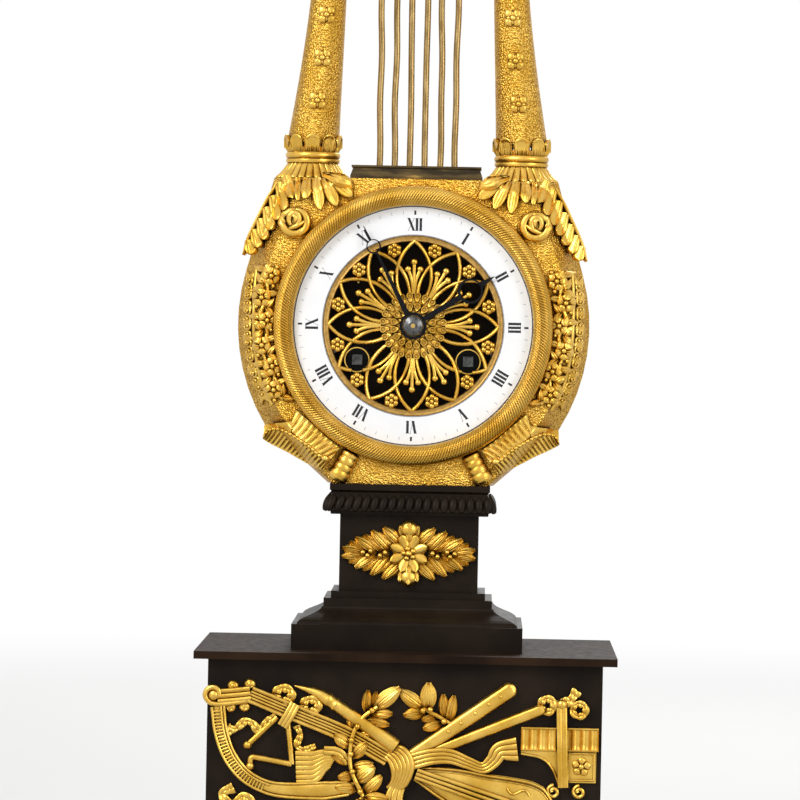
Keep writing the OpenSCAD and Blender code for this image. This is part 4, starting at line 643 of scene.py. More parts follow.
def add_trefoil(shape, out, side):
    """Three stems that spread from the daisy's edge and end in balls."""
    for reach, spread, r in ((25.2, 0.0, 1.4), (22.4, 2.4, 1.35), (22.4, -2.4, 1.35)):
        start = (DAISY_R - 0.8) * out + 0.12 * spread * side
        middle = 18.0 * out + 0.34 * spread * side
        end = reach * out + spread * side
        stem = [(*start, 0.3), (*middle, 0.9), (*end, 0.7)]
        band(shape, stem, round_section(0.72, 8), 14, scale=np.linspace(0.9, 1.15, 14))
        ball(shape, (*end, 0.7), r, flat=0.85)


def add_rosette(shape, centre):
    """Six round petals on a disc, each with a dot, round a raised eye."""
    ring_on(shape, centre, [(0.05, 0.9), (2.3, 0.6), (2.7, 0.1), (2.5, -0.5), (0.05, -0.5)], 24)
    for j in range(6):
        petal = centre + 1.85 * np.array([math.sin(TAU * j / 6), math.cos(TAU * j / 6)])
        ball(shape, (*petal, 0.5), 1.16, flat=0.8, steps=10)
        ball(shape, (*petal, 1.35), 0.4, steps=8)
    ball(shape, (*centre, 1.0), 0.95, steps=10)


def add_daisy(shape):
    """Two rings of spoon-shaped petals, the inner ring above the outer."""
    rings = ((24, 7.6, DAISY_R - 1.55, 1.55, 0.2), (16, 4.4, 7.8, 1.5, 0.8))
    for count, root_r, cup_at, cup_r, lift in rings:
        cup = [(0.05, lift + 0.2), (0.55, lift + 0.25), (0.95, lift + 0.85), (1.25, lift + 0.9),
               (cup_r, lift + 0.4), (cup_r, -0.4), (0.05, -0.4)]
        for k in range(count):
            turned = 360 * (k + 0.5) / count
            way = polar(turned)
            neck_l = cup_at - root_r
            neck = leaf(root_r * way, turned, neck_l, 1.7 * cup_r, 0.9, belly=1.9, start=lift, rows=9)
            relief(shape, neck)
            ring_on(shape, cup_at * way, cup, 20)


def add_petal(shape, out, side):
    """The two woven ribs of a petal, clear of the daisy and the key holes."""
    rib = round_section(0.82, 8, 1.1)
    bow = (PETAL_HALF_L ** 2 + PETAL_HALF_W ** 2) / (2 * PETAL_HALF_W)
    reach = math.asin(PETAL_HALF_L / bow)
    swing = np.linspace(-reach, reach, 44)
    for s in (-1, 1):
        along = PETAL_MID + bow * np.sin(swing)
        across = s * (bow * np.cos(swing) - bow + PETAL_HALF_W)
        flat = along[:, None] * out + across[:, None] * side
        weave = 0.3 + 0.35 * s * np.cos(2.5 * math.pi * np.sin(swing))
        beyond = np.hypot(along, across) > DAISY_R - 0.6
        for run in clear_runs(np.concatenate([flat, weave[:, None]], 1)[beyond]):
            trail(shape, run, rib)


def make_pierced_centre():
    """Interlaced petals, trefoils, rosettes and a double daisy, all open between."""
    fret_high = box_mm("dial_centre")[1]
    rim_out = fret_high[0]
    rim_in = rim_out - 2.4
    plane = Wall(fret_high[1] - 0.2, DIAL_Z)
    shape, rim = Shape(plane), Shape(plane)
    ring_on(rim, (0, 0), [(rim_in, -0.5), (rim_in, 0.35), (rim_in + 0.35, 0.7), (rim_in + 0.9, 0.55),
                          (rim_out - 0.9, 0.5), (rim_out - 0.4, 0.7), (rim_out, 0.4), (rim_out, -0.5)], 144)
    rim.make("centre_rim", "gilt_bronze", RIM_BRASS)
    for k in range(12):
        hour = TAU * k / 12
        out, side = np.array([math.sin(hour), math.cos(hour)]), np.array([math.cos(hour), -math.sin(hour)])
        add_petal(shape, out, side)
        if min(np.hypot(*(24.0 * out - hole)) for hole in KEY_HOLES) > KEY_HOLE_R + 2:
            add_trefoil(shape, out, side)
        between = np.array([math.sin(hour + TAU / 24), math.cos(hour + TAU / 24)])
        add_rosette(shape, (rim_in - 2.5) * between)
    add_daisy(shape)
    ring_on(shape, (0, 0), [(3.05, -0.4), (3.05, 1.0), (3.8, 1.05), (4.4, 0.6), (12.4, 0.15), (12.4, -0.4)])
    for hole in KEY_HOLES:
        ring_on(shape, hole, [(KEY_HOLE_R, -0.4), (KEY_HOLE_R, 0.1), (KEY_HOLE_R + 0.4, 0.05),
                              (KEY_HOLE_R + 0.4, -0.4)], 40)
    shape.make("pierced_centre", "gilt_bronze", GILT_FINE, replaces=["dial_centre"])


# Lyre

ARM_X, ARM_LEAN, ARM_FOOT_R, ARM_TOP_R = 41.7, 6.7, 10.4, 6.3
ARM_Z0 = SHOULDER_Z + 14.0
ARM_STEM = 106.0
CURL_R, CURL_END_R, CURL_TIP_R, CURL_TURN = 15.0, 5.0, 3.2, 300.0


def arm_place(t):
    """Middle line and radius of the arm's stem at a share of its height."""
    x = ARM_X - ARM_LEAN * np.sin(math.pi / 2 * t)
    r = ARM_TOP_R + (ARM_FOOT_R - ARM_TOP_R) * (1 - t) ** 2
    return x, ARM_Z0 + ARM_STEM * t, r


def make_arms():
    t = np.linspace(0, 1, 60, endpoint=False)
    x, z, r = arm_place(t)
    c = np.linspace(0, 1, 90)
    curl = CURL_R + (CURL_END_R - CURL_R) * c
    a = np.radians(CURL_TURN * c)
    curl_x = ARM_X - ARM_LEAN + CURL_R - curl * np.cos(a)
    curl_z = ARM_Z0 + ARM_STEM + curl * np.sin(a)
    path = np.stack([np.concatenate([x, curl_x]), 0 * np.concatenate([x, curl_x]),
                     np.concatenate([z, curl_z]) + DIAL_Z], 1)
    scale = np.concatenate([r, ARM_TOP_R + (CURL_TIP_R - ARM_TOP_R) * c])
    for name, s in (("left", -1), ("right", 1)):
        shape = Shape()
        sweep(shape, path * [s, 1, 1], round_section(1, 40), scale=scale)
        shape.make(f"arm_{name}", "gilt_bronze", GILT_MATT, replaces=[f"lyre_arm_{name}"])


def add_petal_cup(shape, foot):
    """A cup of ten petals with raised rims and fine flutes."""
    steps, levels, petals = 400, 18, 10
    a = np.arange(steps) * TAU / steps
    place = (a / TAU * petals) % 1.0 * 2 - 1
    tongue_top = np.sqrt(np.maximum(1 - (place / 0.88) ** 2, 0)) ** 0.7
    rim = np.exp(-((np.abs(place) - 0.74) / 0.1) ** 2)
    outer, inner = [], []
    for k in range(levels):
        v = k / (levels - 1)
        z = 10.5 + v * (2.0 + 5.0 * tongue_top)
        lip = np.maximum(rim, np.exp(-((v - 0.93) / 0.09) ** 2))
        flutes = 0.24 * np.cos(9 * math.pi * place) * np.clip(1.25 - 2.2 * v, 0, 1) * (tongue_top > 0.3)
        r = 10.0 + 1.35 * v ** 0.8 + 0.45 * lip * v ** 0.3 + flutes
        for rows, reach in ((outer, r), (inner, r - 1.3 + 0.3 * v)):
            rows.append(np.stack([reach * np.cos(a), reach * np.sin(a), z], -1))
    shape.tube(np.stack([row + foot for row in outer + inner[::-1]], 1), closed=True)


def make_collars():
    """Toothed skirt, plain grooved ring and petal cup round the foot of each arm."""
    shape = Shape()
    foot = np.array([ARM_X, 0, SHOULDER_Z + DIAL_Z])
    teeth = 26
    skirt = [(3.2, 0.05), (13.6, 0.05), (14.6, 0.3), (14.5, 0.8), (13.4, 1.7), (12.2, 3.0), (11.2, 4.4),
             (10.4, 5.6), (10.0, 6.2), (3.2, 6.2)]
    fluted = [0, 1.0, 1.1, 1.1, 1.0, 0.8, 0.6, 0.35, 0.1, 0]
    turn(shape, foot, skirt, teeth * 14, wave=lambda k, a: fluted[k] * (1.5 * ridge(teeth * a / TAU) - 1.3))
    ring = [(3.2, 6.1), (10.0, 6.1), (10.6, 6.4), (10.8, 7.1), (10.7, 7.7), (10.2, 8.0), (10.7, 8.3),
            (10.95, 9.2), (10.8, 10.0), (10.2, 10.6), (3.2, 10.6)]
    turn(shape, foot, ring, 96)
    add_petal_cup(shape, foot)
    shape.mirrored().make("collars", replaces=["arm_collars"])


def make_arm_flowers():
    """Four-petalled flowers up each arm and round rosettes in the eyes of the curls."""
    shape = Shape()
    for k in range(4):
        x, z, r = arm_place(0.16 + 0.162 * k)
        shape.wall = Wall(-r - 0.5, DIAL_Z)
        blossom(shape, (x, z), 4.0, 4, 1.1, turn_by=45, eye=0.3, width=1.0)
        blossom(shape, (x, z), 2.6, 4, 0.7, turn_by=0, eye=0, width=0.7)
    end = math.radians(CURL_TURN)
    eye_x = ARM_X - ARM_LEAN + CURL_R - CURL_END_R * math.cos(end)
    eye_z = ARM_Z0 + ARM_STEM + CURL_END_R * math.sin(end)
    rosette = Shape(Wall(-CURL_TIP_R - 0.7, DIAL_Z))
    blossom(rosette, (eye_x, eye_z), 5.0, 8, 1.2, eye=0.3)
    for way in (1, -1):
        shape.add(np.vstack(rosette.points) * [1, way, 1], rosette.faces)
    shape.mirrored().make("arm_flowers", replaces=["arm_rosettes"])


def make_strings():
    """Six brass rods, each a little wavy as drawn wire is."""
    shape = Shape()
    low, high = CREST_TOP - 3.5, (BAR_LOW[2] + BAR_HIGH[2]) / 2 - 1
    z = np.linspace(low, high, 60)
    for k in range(6):
        wave = dice.uniform(-1, 1, 4)
        s = np.pi * (z - low) / (high - low)
        x = (k - 2.5) * STRING_PITCH + 0.28 * (wave[0] * np.sin(2 * s) + wave[1] * np.sin(5 * s))
        y = 0.25 * (wave[2] * np.sin(3 * s) + wave[3] * np.sin(4 * s))
        sweep(shape, np.stack([x, y, z], 1), round_section(1.28, 14))
    shape.make("string_rods", "brass", STRING_BRASS, replaces=["strings"])


def tongue(base, tip, width, lift, start=0.4, curl=0.8, lines=3):
    """A grid of a leaf's lobe: widest past its middle, with a round tip and fine lines."""
    t = np.linspace(0, 1, 16)[:, None]
    a = np.linspace(-1, 1, 13)[None, :]
    swell = 0.72 + 0.28 * np.sin(math.pi / 2 * np.minimum(t / 0.6, 1))
    rounding = np.sqrt(np.maximum(1 - np.clip((t - 0.6) / 0.41, 0, 1) ** 2, 0.01))
    half = width / 2 * swell * rounding
    way = np.subtract(tip, base)
    length = np.hypot(*way)
    way = way / length
    x = base[0] + way[0] * length * t - way[1] * half * a
    z = base[1] + way[1] * length * t + way[0] * half * a
    crown = lift * np.sqrt(np.maximum(1 - a ** 2, 0.02)) * (0.6 + 0.4 * t)
    veins = 0.16 * lift * np.cos(math.pi * lines * a) * (1 - 0.6 * t)
    return np.stack([x, z, start + crown + veins + curl * t ** 2], -1)


def make_acanthus():
    """Five tongues that hang from under each skirt and a broad leaf that sweeps towards the crest."""
    shape = Shape(FLANK)
    lobes = [((46.8, 57.6), (46.6, 48.8), 3.4), ((43.2, 57.6), (43.7, 49.6), 5.0),
             ((39.6, 57.6), (37.7, 45.4), 5.2), ((36.2, 57.6), (31.2, 47.0), 5.4),
             ((33.4, 57.4), (25.2, 50.8), 5.4)]
    for root, tip, w in lobes:
        relief(shape, tongue(root, tip, w, 1.4, start=0.5, curl=1.3), 1.4)
    sweep_leaf = sheet([(36.5, 59.6), (32.6, 59.4), (28.8, 59.2), (25.6, 57.6)],
                       [(36.5, 57.4), (32.8, 55.4), (29.0, 53.6), (25.0, 54.0)], 40, 19,
                       lambda u, v: 1.4 + 2.2 * np.sin(math.pi * v) ** 0.7 * np.sqrt(1.02 - u ** 2)
                       + 0.35 * np.cos(TAU * 3 * v) * (1 - u) + 1.4 * u * (1 - u))
    relief(shape, sweep_leaf, 3.0)
    shape.mirrored().make("acanthus", replaces=["shoulder_mounts"])


def make_flank_leaves():
    """A feathered leaf down each flank, its flat lobes hanging from a smooth outer edge."""
    shape = Shape(FLANK)
    lobes = [((51.6, 58.2), (48.6, 49.6)), ((54.2, 55.4), (51.2, 44.4)), ((56.6, 50.4), (53.8, 40.6)),
             ((59.0, 45.8), (56.4, 36.6)), ((61.4, 41.2), (58.8, 32.8)), ((63.8, 36.8), (61.2, 29.6)),
             ((65.8, 32.6), (63.8, 26.8))]
    for root, tip in lobes:
        relief(shape, tongue(root, tip, 4.5, 1.7, start=0.5, curl=0.9, lines=2), 1.8)
    edge = sheet([(54.0, 55.6), (57.6, 49.6), (61.4, 41.8), (65.0, 34.0), (67.0, 27.6)],
                 [(55.4, 55.6), (59.2, 49.4), (63.0, 41.6), (66.6, 33.6), (68.2, 26.8)], 60, 9,
                 lambda u, v: 0.7 + 0.8 * np.sin(math.pi * v) ** 0.6)
    relief(shape, edge, 2.5)
    shape.mirrored().make("flank_leaves")


def make_roses():
    """A rose beside the bezel: a bud and a folded petal inside two crescents, on two broad outer petals."""
    shape = Shape(FLANK)
    centre = np.array([47.4, 40.2])
    ring_on(shape, centre, [(0.05, 2.4), (2.0, 2.3), (3.8, 1.5), (4.9, 0.2), (4.9, -0.9), (0.05, -0.9)], 40)
    petals = [(4.5, 4.7, (-0.1, 0.0), 70, 300, 1.5, 1.4), (4.2, 4.0, (0.7, -0.5), 195, 395, 1.4, 1.7),
              (3.9, 4.0, (0.5, 0.5), -20, 130, 1.2, 1.6), (2.0, 2.6, (0.5, 1.0), -60, 290, 1.1, 2.7),
              (0.8, 1.3, (0.7, 1.1), 40, 250, 0.8, 3.1)]
    for rx, rz, off, first, last, wire, high in petals:
        a = np.radians(np.linspace(first, last, 30))
        x, z = centre[0] + off[0] + rx * np.cos(a), centre[1] + off[1] + rz * np.sin(a)
        taper = 0.35 + 0.65 * np.sin(np.linspace(0, math.pi, 30)) ** 0.6
        trail(shape, np.stack([x, z, 0 * a + high], 1), round_section(1.2 * wire, 10), scale=taper)
    fold = [(*(centre + [-3.6, 0.4]), 2.0), (*(centre + [-0.8, -1.4]), 3.0), (*(centre + [3.0, -3.0]), 1.8)]
    band(shape, fold, round_section(1.0, 10), 20, scale=0.5 + 0.5 * np.sin(np.linspace(0.3, 2.8, 20)))
    for angle, w, length in ((-58, 6.0, 7.4), (-128, 6.4, 7.6), (165, 5.0, 6.8), (62, 4.6, 6.6)):
        relief(shape, leaf(centre, angle, length, w, 1.0, belly=1.8, start=0.2), 1.0)
    shape.mirrored().make("roses")


def c_scroll(shape, centre, r, angle, way):
    """Two small spirals joined back to back."""
    for s in (-1, 1):
        t = np.linspace(0, 1, 26)
        spin = math.radians(angle) + way * s * (0.5 * math.pi + 1.25 * TAU * t)
        size = r * (1 - 0.8 * t)
        mid = np.asarray(centre) + s * 0.9 * r * polar(angle + 90)
        curl = np.stack([mid[0] + size * np.cos(spin), mid[1] + size * np.sin(spin), 0.45 + 0.3 * t], 1)
        trail(shape, curl, round_section(0.62, 8), scale=np.linspace(1.15, 0.75, 26))
        ball(shape, curl[-1], 0.85, steps=10)


def make_vines():
    """Flowers and leaves along a stem beside the bezel."""
    shape = Shape(BODY)
    stem = [(57.0, 23.0), (58.8, 12.0), (59.0, 0.0), (58.0, -12.0), (54.4, -24.0), (51.0, -30.0)]
    line = spline(stem, 80)
    way, side = along_across(line)
    path = np.concatenate([line + 1.2 * np.sin(np.linspace(0, 7 * math.pi, 80))[:, None] * side,
                           np.full((80, 1), 0.5)], 1)
    trail(shape, path, round_section(0.8, 8), scale=np.linspace(1.2, 0.8, 80))
    blooms = 6
    for k in range(blooms):
        i = int((k + 0.5) / blooms * 79)
        heading = math.degrees(math.atan2(way[i][1], way[i][0]))
        hand = 1 if k % 2 else -1
        place = line[i] + 1.3 * hand * side[i]
        blossom(shape, place, 3.9, 5, 1.2, start=0.8, turn_by=17 * k, eye=0.26, width=1.35)
        for back, turn_by, length in ((3.4, 45, 6.4), (-2.2, 80, 6.0), (4.0, 130, 5.6), (1.0, 160, 5.6)):
            root = line[i] + back * way[i] - 0.4 * hand * side[i]
            angle = heading - hand * turn_by + dice.uniform(-9, 9)
            grid = leaf(root, angle, length, 3.4, 1.4, tip=0.7, start=0.4, bend=-25 * hand)
            relief(shape, grid, 1.2)
        for back in (3.8, -3.8):
            berry = line[i] + back * way[i] + 2.8 * hand * side[i]
            ball(shape, (*berry, 0.7), 0.95, steps=10)
    shape.mirrored().make("vines", replaces=["side_vines"])


def make_edge_scrolls():
    """A ridge down each side of the body, with scrolls and leaves outside it."""
    shape = Shape(BODY)
    ridge_line = [(62.2, 22.0), (62.8, 12.0), (62.8, 0.0), (62.0, -11.0), (59.4, -23.3), (55.0, -32.0)]
    band(shape, ridge_line, round_section(0.9, 8, 0.8), 70, lift=0.4)
    edge = spline([(65.2, 18.0), (65.8, 9.0), (65.8, 0.0), (65.0, -10.0), (62.6, -21.0), (58.6, -30.0)], 90)
    along = unit(np.gradient(edge, axis=0))
    motifs = 8
    for k in range(motifs):
        i = int((k + 0.5) / motifs * 89)
        heading = math.degrees(math.atan2(along[i][1], along[i][0]))
        c_scroll(shape, edge[i], 1.75, heading + 90, 1 if k % 2 else -1)
        for turn_by in (24, -24, 156, -156):
            root = edge[i] + 1.4 * np.sign(90 - abs(turn_by)) * along[i]
            relief(shape, leaf(root, heading + turn_by, 4.2, 2.3, 1.1, start=0.3), 1.0)
    shape.mirrored().make("edge_scrolls")


def under_fold(u, v):
    """Relief below the fold: many ribs that slant outwards."""
    return 4.6 - 3.0 * v ** 1.3 - 0.8 * (1 - ridge(17 * u + 2.4 * v)) * np.sin(math.pi * v) ** 0.4


def over_fold(u, v):
    """Relief above the fold: fewer ribs that slant towards the bezel."""
    return 3.9 - 1.6 * v ** 1.5 - 0.9 * (1 - ridge(9 * u - 1.4 * v)) * np.sin(math.pi * v) ** 0.5


def add_folded_leaf(shape):
    """A ribbed leaf folded along its length, with a plain cuff and a beaded lip on the fold."""
    fold = [(58.6, -45.0), (56.6, -42.4), (52.6, -42.0), (48.4, -43.4), (44.6, -45.6), (39.6, -48.8),
            (35.4, -52.4), (32.6, -53.4)]
    under = [(59.0, -46.0), (56.8, -47.4), (53.2, -49.2), (49.0, -51.2), (44.6, -53.6), (39.6, -56.2),
             (35.4, -57.8), (32.6, -56.8)]
    relief(shape, sheet(fold, under, 300, 18, under_fold), 4.0)
    inner = [(48.0, -43.0), (44.4, -45.6), (39.4, -48.8), (35.2, -52.4), (31.4, -53.2)]
    bezel_side = [(45.8, -34.0), (41.8, -37.4), (38.0, -40.6), (32.6, -45.4), (28.0, -48.8)]
    relief(shape, sheet(inner, bezel_side, 220, 16, over_fold), 3.0)
    cuff = sheet([(58.6, -45.0), (56.6, -42.4), (52.6, -42.0), (47.6, -43.4)],
                 [(58.4, -40.4), (55.4, -39.8), (51.4, -39.4), (46.6, -38.6)], 50, 10,
                 lambda u, v: 4.4 - 2.4 * v ** 0.8 + 0.3 * np.sin(math.pi * v))
    relief(shape, cuff, 3.0)
    lip = np.concatenate([spline(fold, 120), np.full((120, 1), 4.6)], 1)
    lip[:, 2] += 0.3 * np.cos(np.linspace(0, 34 * math.pi, 120))
    trail(shape, lip, round_section(0.6, 8), scale=np.concatenate([np.linspace(0.5, 1, 20), np.ones(100)]))
    ball(shape, (33.6, -53.0, 4.4), 1.5, steps=14)


def add_roll(shape):
    """A roll with rings that leans out from under the bezel."""
    start, end = np.array([23.2, -50.0]), np.array([29.6, -61.8])
    axis = unit(np.array([end[0] - start[0], 0, end[1] - start[1]]))
    length = np.hypot(*(end - start))
    profile = [(0.3, 0)]
    for k in range(57):
        s = k / 56
        bulge = 3.4 + 0.7 * s + 0.4 * abs(math.sin(4.5 * math.pi * s)) ** 0.6
        profile.append((bulge * min(1, 0.8 + 3 * s, 0.7 + 3 * (1 - s)), 0.3 + s * (length - 0.6)))
    profile.append((0.3, length))
    turn(shape, (start[0], BODY_FRONT + 0.4, start[1] + DIAL_Z), profile, 28, axis)


def make_lower_leaves():
    """A folded ribbed leaf and a ringed roll at each lower corner."""
    shape = Shape(UPRIGHT)
    add_folded_leaf(shape)
    add_roll(shape)
    shape.mirrored().make("folded_leaves", replaces=["lower_leaves"])


# Pedestal and plinth

def moulding(shape, half_w, half_d, profile):
    """A block whose profile of (set-back, height) runs round four sides."""
    rings = [[[sx * (half_w - i), sy * (half_d - i), z] for sx, sy in ((-1, -1), (1, -1), (1, 1), (-1, 1))]
             for i, z in profile]
    shape.tube(rings)


def make_cornice():
    """Moulded cornice with slanting gadroons along all four sides."""
    shape = Shape()
    half_w, half_d = CORNICE_HIGH[0], CORNICE_HIGH[1]
    low, high = CORNICE_LOW[2], CORNICE_HIGH[2]
    band_low, band_high = low + 1.5, low + 7.5
    profile = [(3.9, low), (3.7, low + 0.6), (3.7, band_low), (1.4, band_low), (1.5, band_low + 0.5),
               (3.6, band_high), (4.1, band_high + 0.4), (4.3, band_high + 1.1), (3.7, band_high + 1.9),
               (3.3, band_high + 2.1), (3.3, high)]
    moulding(shape, half_w, half_d, profile)
    t = np.linspace(0, 1, 14)
    swell = 0.25 + np.sin(math.pi * np.minimum(1, t * 0.92 + 0.06)) ** 0.5
    for half, depth, count, flip in ((half_w, half_d, 19, False), (half_d, half_w, 15, True)):
        pitch = 2 * (half - 1.5) / count
        for k in range(count):
            for s in (-1, 1):
                across = (k + 0.5) * pitch - (half - 1.5) + 1.3 * (t - 0.5)
                across = across * (1 - 0.05 * t)
                deep = s * (depth - 1.5 - 2.0 * t)
                z = band_low + t * (band_high - band_low)
                path = np.stack([deep, across, z], 1) if flip else np.stack([-s * across, deep, z], 1)
                out = (s, 0, 0.25) if flip else (0, s, 0.25)
                sweep(shape, path, round_section(0.5 * pitch, 12, 0.95), up=out, scale=0.8 * swell)
    shape.make("gadrooned_cornice", "patinated_bronze", BRONZE, replaces=["pedestal_cornice"], sharp=40)


def spear(shape, base, tip, width, start):
    """A veined laurel leaf from its base to its blunt tip."""
    t = np.linspace(0, 1, 18)[:, None]
    a = np.linspace(-1, 1, 27)[None, :]
    half = width / 2 * np.maximum(np.sin(math.pi * np.clip(t, 0.03, 0.97) ** 0.9), 0) ** 0.52
    way = np.subtract(tip, base)
    flat = np.asarray(base) + t[..., None] * way + (half * a)[..., None] * unit(np.array([-way[1], way[0]]))
    crown = (1 - a ** 2) * np.sin(math.pi * np.clip(t, 0.02, 0.98)) ** 0.5
    crease = 0.4 * np.exp(-((a / 0.14) ** 2)) * (1 - t)
    veins = 0.2 * np.cos(6 * math.pi * a) * (1 - a ** 2) * (1 - 0.6 * t)
    high = start + 1.3 * (crown - crease + veins) + 0.9 * t ** 2
    relief(shape, np.concatenate([flat, high[..., None]], -1), 1.4)


def add_lozenge_leaves(shape):
    """Broad leaves over narrow ones in each quarter, with berries along the middle."""
    narrow = [((4.6, 1.2), (12.2, 7.6), 4.4), ((9.6, 0.4), (17.8, 7.2), 4.2),
              ((14.8, 0.4), (23.6, 4.2), 4.0)]
    broad = [((2.8, 3.2), (10.2, 10.2), 5.0), ((7.4, 0.8), (14.8, 8.8), 5.0),
             ((12.6, 0.4), (21.2, 6.0), 5.0), ((16.6, 0.2), (26.4, 1.8), 4.6)]
    for x_side in (-1, 1):
        for z_side in (-1, 1):
            turn_to = np.array([x_side, z_side])
            for leaves, start in ((narrow, 0.4), (broad, 0.9)):
                for base, tip, w in leaves:
                    spear(shape, turn_to * base, turn_to * tip, w, start)
        for x, z in ((9.4, 0.2), (11.4, -1.0), (15.2, 0.8), (16.4, -1.0), (18.2, 0.2)):
            ball(shape, (x_side * x, z, 2.2), 1.05, steps=10)


def make_pedestal_mount():
    """Lozenge of laurel and berries round a double flower, with a tulip above and below."""
    shape = Shape(DADO)
    add_lozenge_leaves(shape)
    for up in (-1, 1):
        for side in (-1, 1):
            relief(shape, tongue((2.2 * side, 5.0 * up), (3.6 * side, 11.0 * up), 2.8, 1.4, start=0.9), 1.4)
        ball(shape, (0, 9.6 * up, 0.9), 3.7, flat=0.7, steps=24)
        relief(shape, tongue((0, 5.0 * up), (0, 12.2 * up), 3.6, 1.4, start=2.0, curl=0.2), 1.6)
    for k in range(8):
        way = polar(45 * k + 22.5)
        relief(shape, tongue(2.2 * way, 7.8 * way, 4.0, 0.9, start=1.9, curl=0.5, lines=1), 1.4)
    for k in range(5):
        ball(shape, (*(2.0 * polar(72 * k + 30)), 2.5), 1.25, steps=12)
    ball(shape, (0, 0, 3.0), 1.5, steps=14)
    shape.make("laurel_lozenge", replaces=["pedestal_mount"])


def laurel_twig(shape, points, pairs, length):
    """A stem with pairs of veined leaves and berries where they meet."""
    stem = spline(points, 30)
    way = along_across(stem)[0]
    band(shape, points, round_section(0.85, 8), 30, lift=1.4, scale=np.linspace(1.2, 0.7, 30))
    for k in range(pairs + 1):
        i = int((k + 0.25) / (pairs + 0.7) * 29)
        heading = math.atan2(way[i][1], way[i][0])
        for spread in (-42, 42) if k < pairs else (0,):
            angle = heading + math.radians(spread + dice.uniform(-8, 8))
            size = length * dice.uniform(0.9, 1.12)
            tip = stem[i] + size * np.array([math.cos(angle), math.sin(angle)])
            spear(shape, stem[i], tip, 0.5 * size, 0.6 + 0.7 * (k % 2))
        if k < pairs:
            ball(shape, (*stem[i], 2.7), 1.15, steps=10)


def loop(shape, centre, r, w, phase, squeeze):
    """A pleated loop of ribbon that stands off the wall."""
    a = np.linspace(0, TAU, 56, endpoint=False) + phase
    pleat = 0.2 * np.cos(5 * a)
    x, z = centre[0] + r * np.cos(a), centre[1] + squeeze * r * np.sin(a)
    p = np.stack([x, z, 1.3 + 0.5 * np.cos(a) + pleat], 1)
    trail(shape, p, strip_section(w, 0.9, 2), scale=1 + 0.6 * pleat, closed=True)


def ribbon(shape, points, w):
    """A pleated ribbon along a wavy line."""
    count = 20 * len(points)
    p = np.concatenate([spline(points, count), np.full((count, 1), 1.2)], 1)
    s = np.linspace(0, 1, count)
    pleat = np.cos(TAU * 1.3 * len(points) * s)
    p[:, 2] += 0.25 * pleat
    trail(shape, p, strip_section(w, 0.9, 2), scale=1 + 0.16 * np.cos(TAU * 0.5 * len(points) * s))


def add_cittern_frame(shape):
    """The curved frame below the neck, with a ribbed edge and raised lines."""
    frame_line = [(-72.6, -18.6), (-71.2, -28.5), (-67.8, -37.6), (-62.0, -44.8), (-54.6, -49.0),
                  (-46.4, -50.6), (-31.2, -50.4), (-19, -49.0)]
    wide = np.concatenate([np.linspace(1.0, 0.95, 60), np.linspace(0.95, 1.3, 40),
                           np.linspace(1.3, 1.0, 20)])
    band(shape, frame_line, strip_section(5.4, 1.7), 120, lift=0.4, scale=wide)
    path = spline(frame_line, 120)
    across = along_across(path)[1]
    for k in range(3, 62, 2):
        bar = [(*(path[k] - 2.3 * across[k]), 2.2), (*(path[k] + 0.6 * across[k]), 2.3)]
        band(shape, bar, round_section(0.4, 8), 5)
    for off, last in ((2.2, 116), (1.0, 70), (-2.5, 116)):
        edge = path[:last] + off * wide[:last, None] * across[:last]
        band(shape, edge[::5], round_section(0.6, 8), 100, lift=2.1)


def make_cittern():
    """Neck with strings, peg box with its volute and pegs, and a frame with a ribbed edge."""
    shape = Shape(PANEL)
    neck = [(-60.2, -13.6), (-41.0, -21.2), (-22.4, -28.6), (-6, -37.4)]
    band(shape, neck, strip_section(5.8, 2.2, 5), 50, lift=0.5)
    line = spline(neck, 50)
    across = along_across(line)[1]
    for s in (-1, 1):
        rim = line + 2.7 * s * across
        band(shape, rim[::7], round_section(0.7, 8), 50, lift=2.4)
    band(shape, [(-73, -14.6), (-66.5, -14.0), (-60.2, -13.2)], strip_section(5.8, 2.5, 3), 20, lift=0.5)
    volute = [(-72.2, -14.6, 2.4), (-72.6, -12.2, 2.4), (-74.8, -11.0, 2.2), (-77.2, -12.4, 2.0),
              (-77.6, -15.0, 1.8), (-75.2, -17.4, 1.8), (-70.4, -17.6, 1.8), (-65.4, -16.9, 1.8),
              (-60.6, -16.0, 1.6)]
    band(shape, volute, round_section(1.1, 10, 1.1), 70)
    ball(shape, (-74.4, -14.2, 1.8), 2.3, flat=0.8, steps=18)
    disc = [(0.05, 1.9), (0.7, 1.9), (1.0, 1.7), (1.3, 1.9), (1.9, 1.6), (2.3, 0.8), (2.3, -0.5),
            (0.05, -0.5)]
    for x, z in ((-67.0, -10.6), (-60.4, -9.8), (-62.4, -18.4), (-68.0, -18.8)):
        ring_on(shape, (x, z), disc, 24)
    add_cittern_frame(shape)
    shape.make("trophy_cittern", replaces=["trophy_mount"])


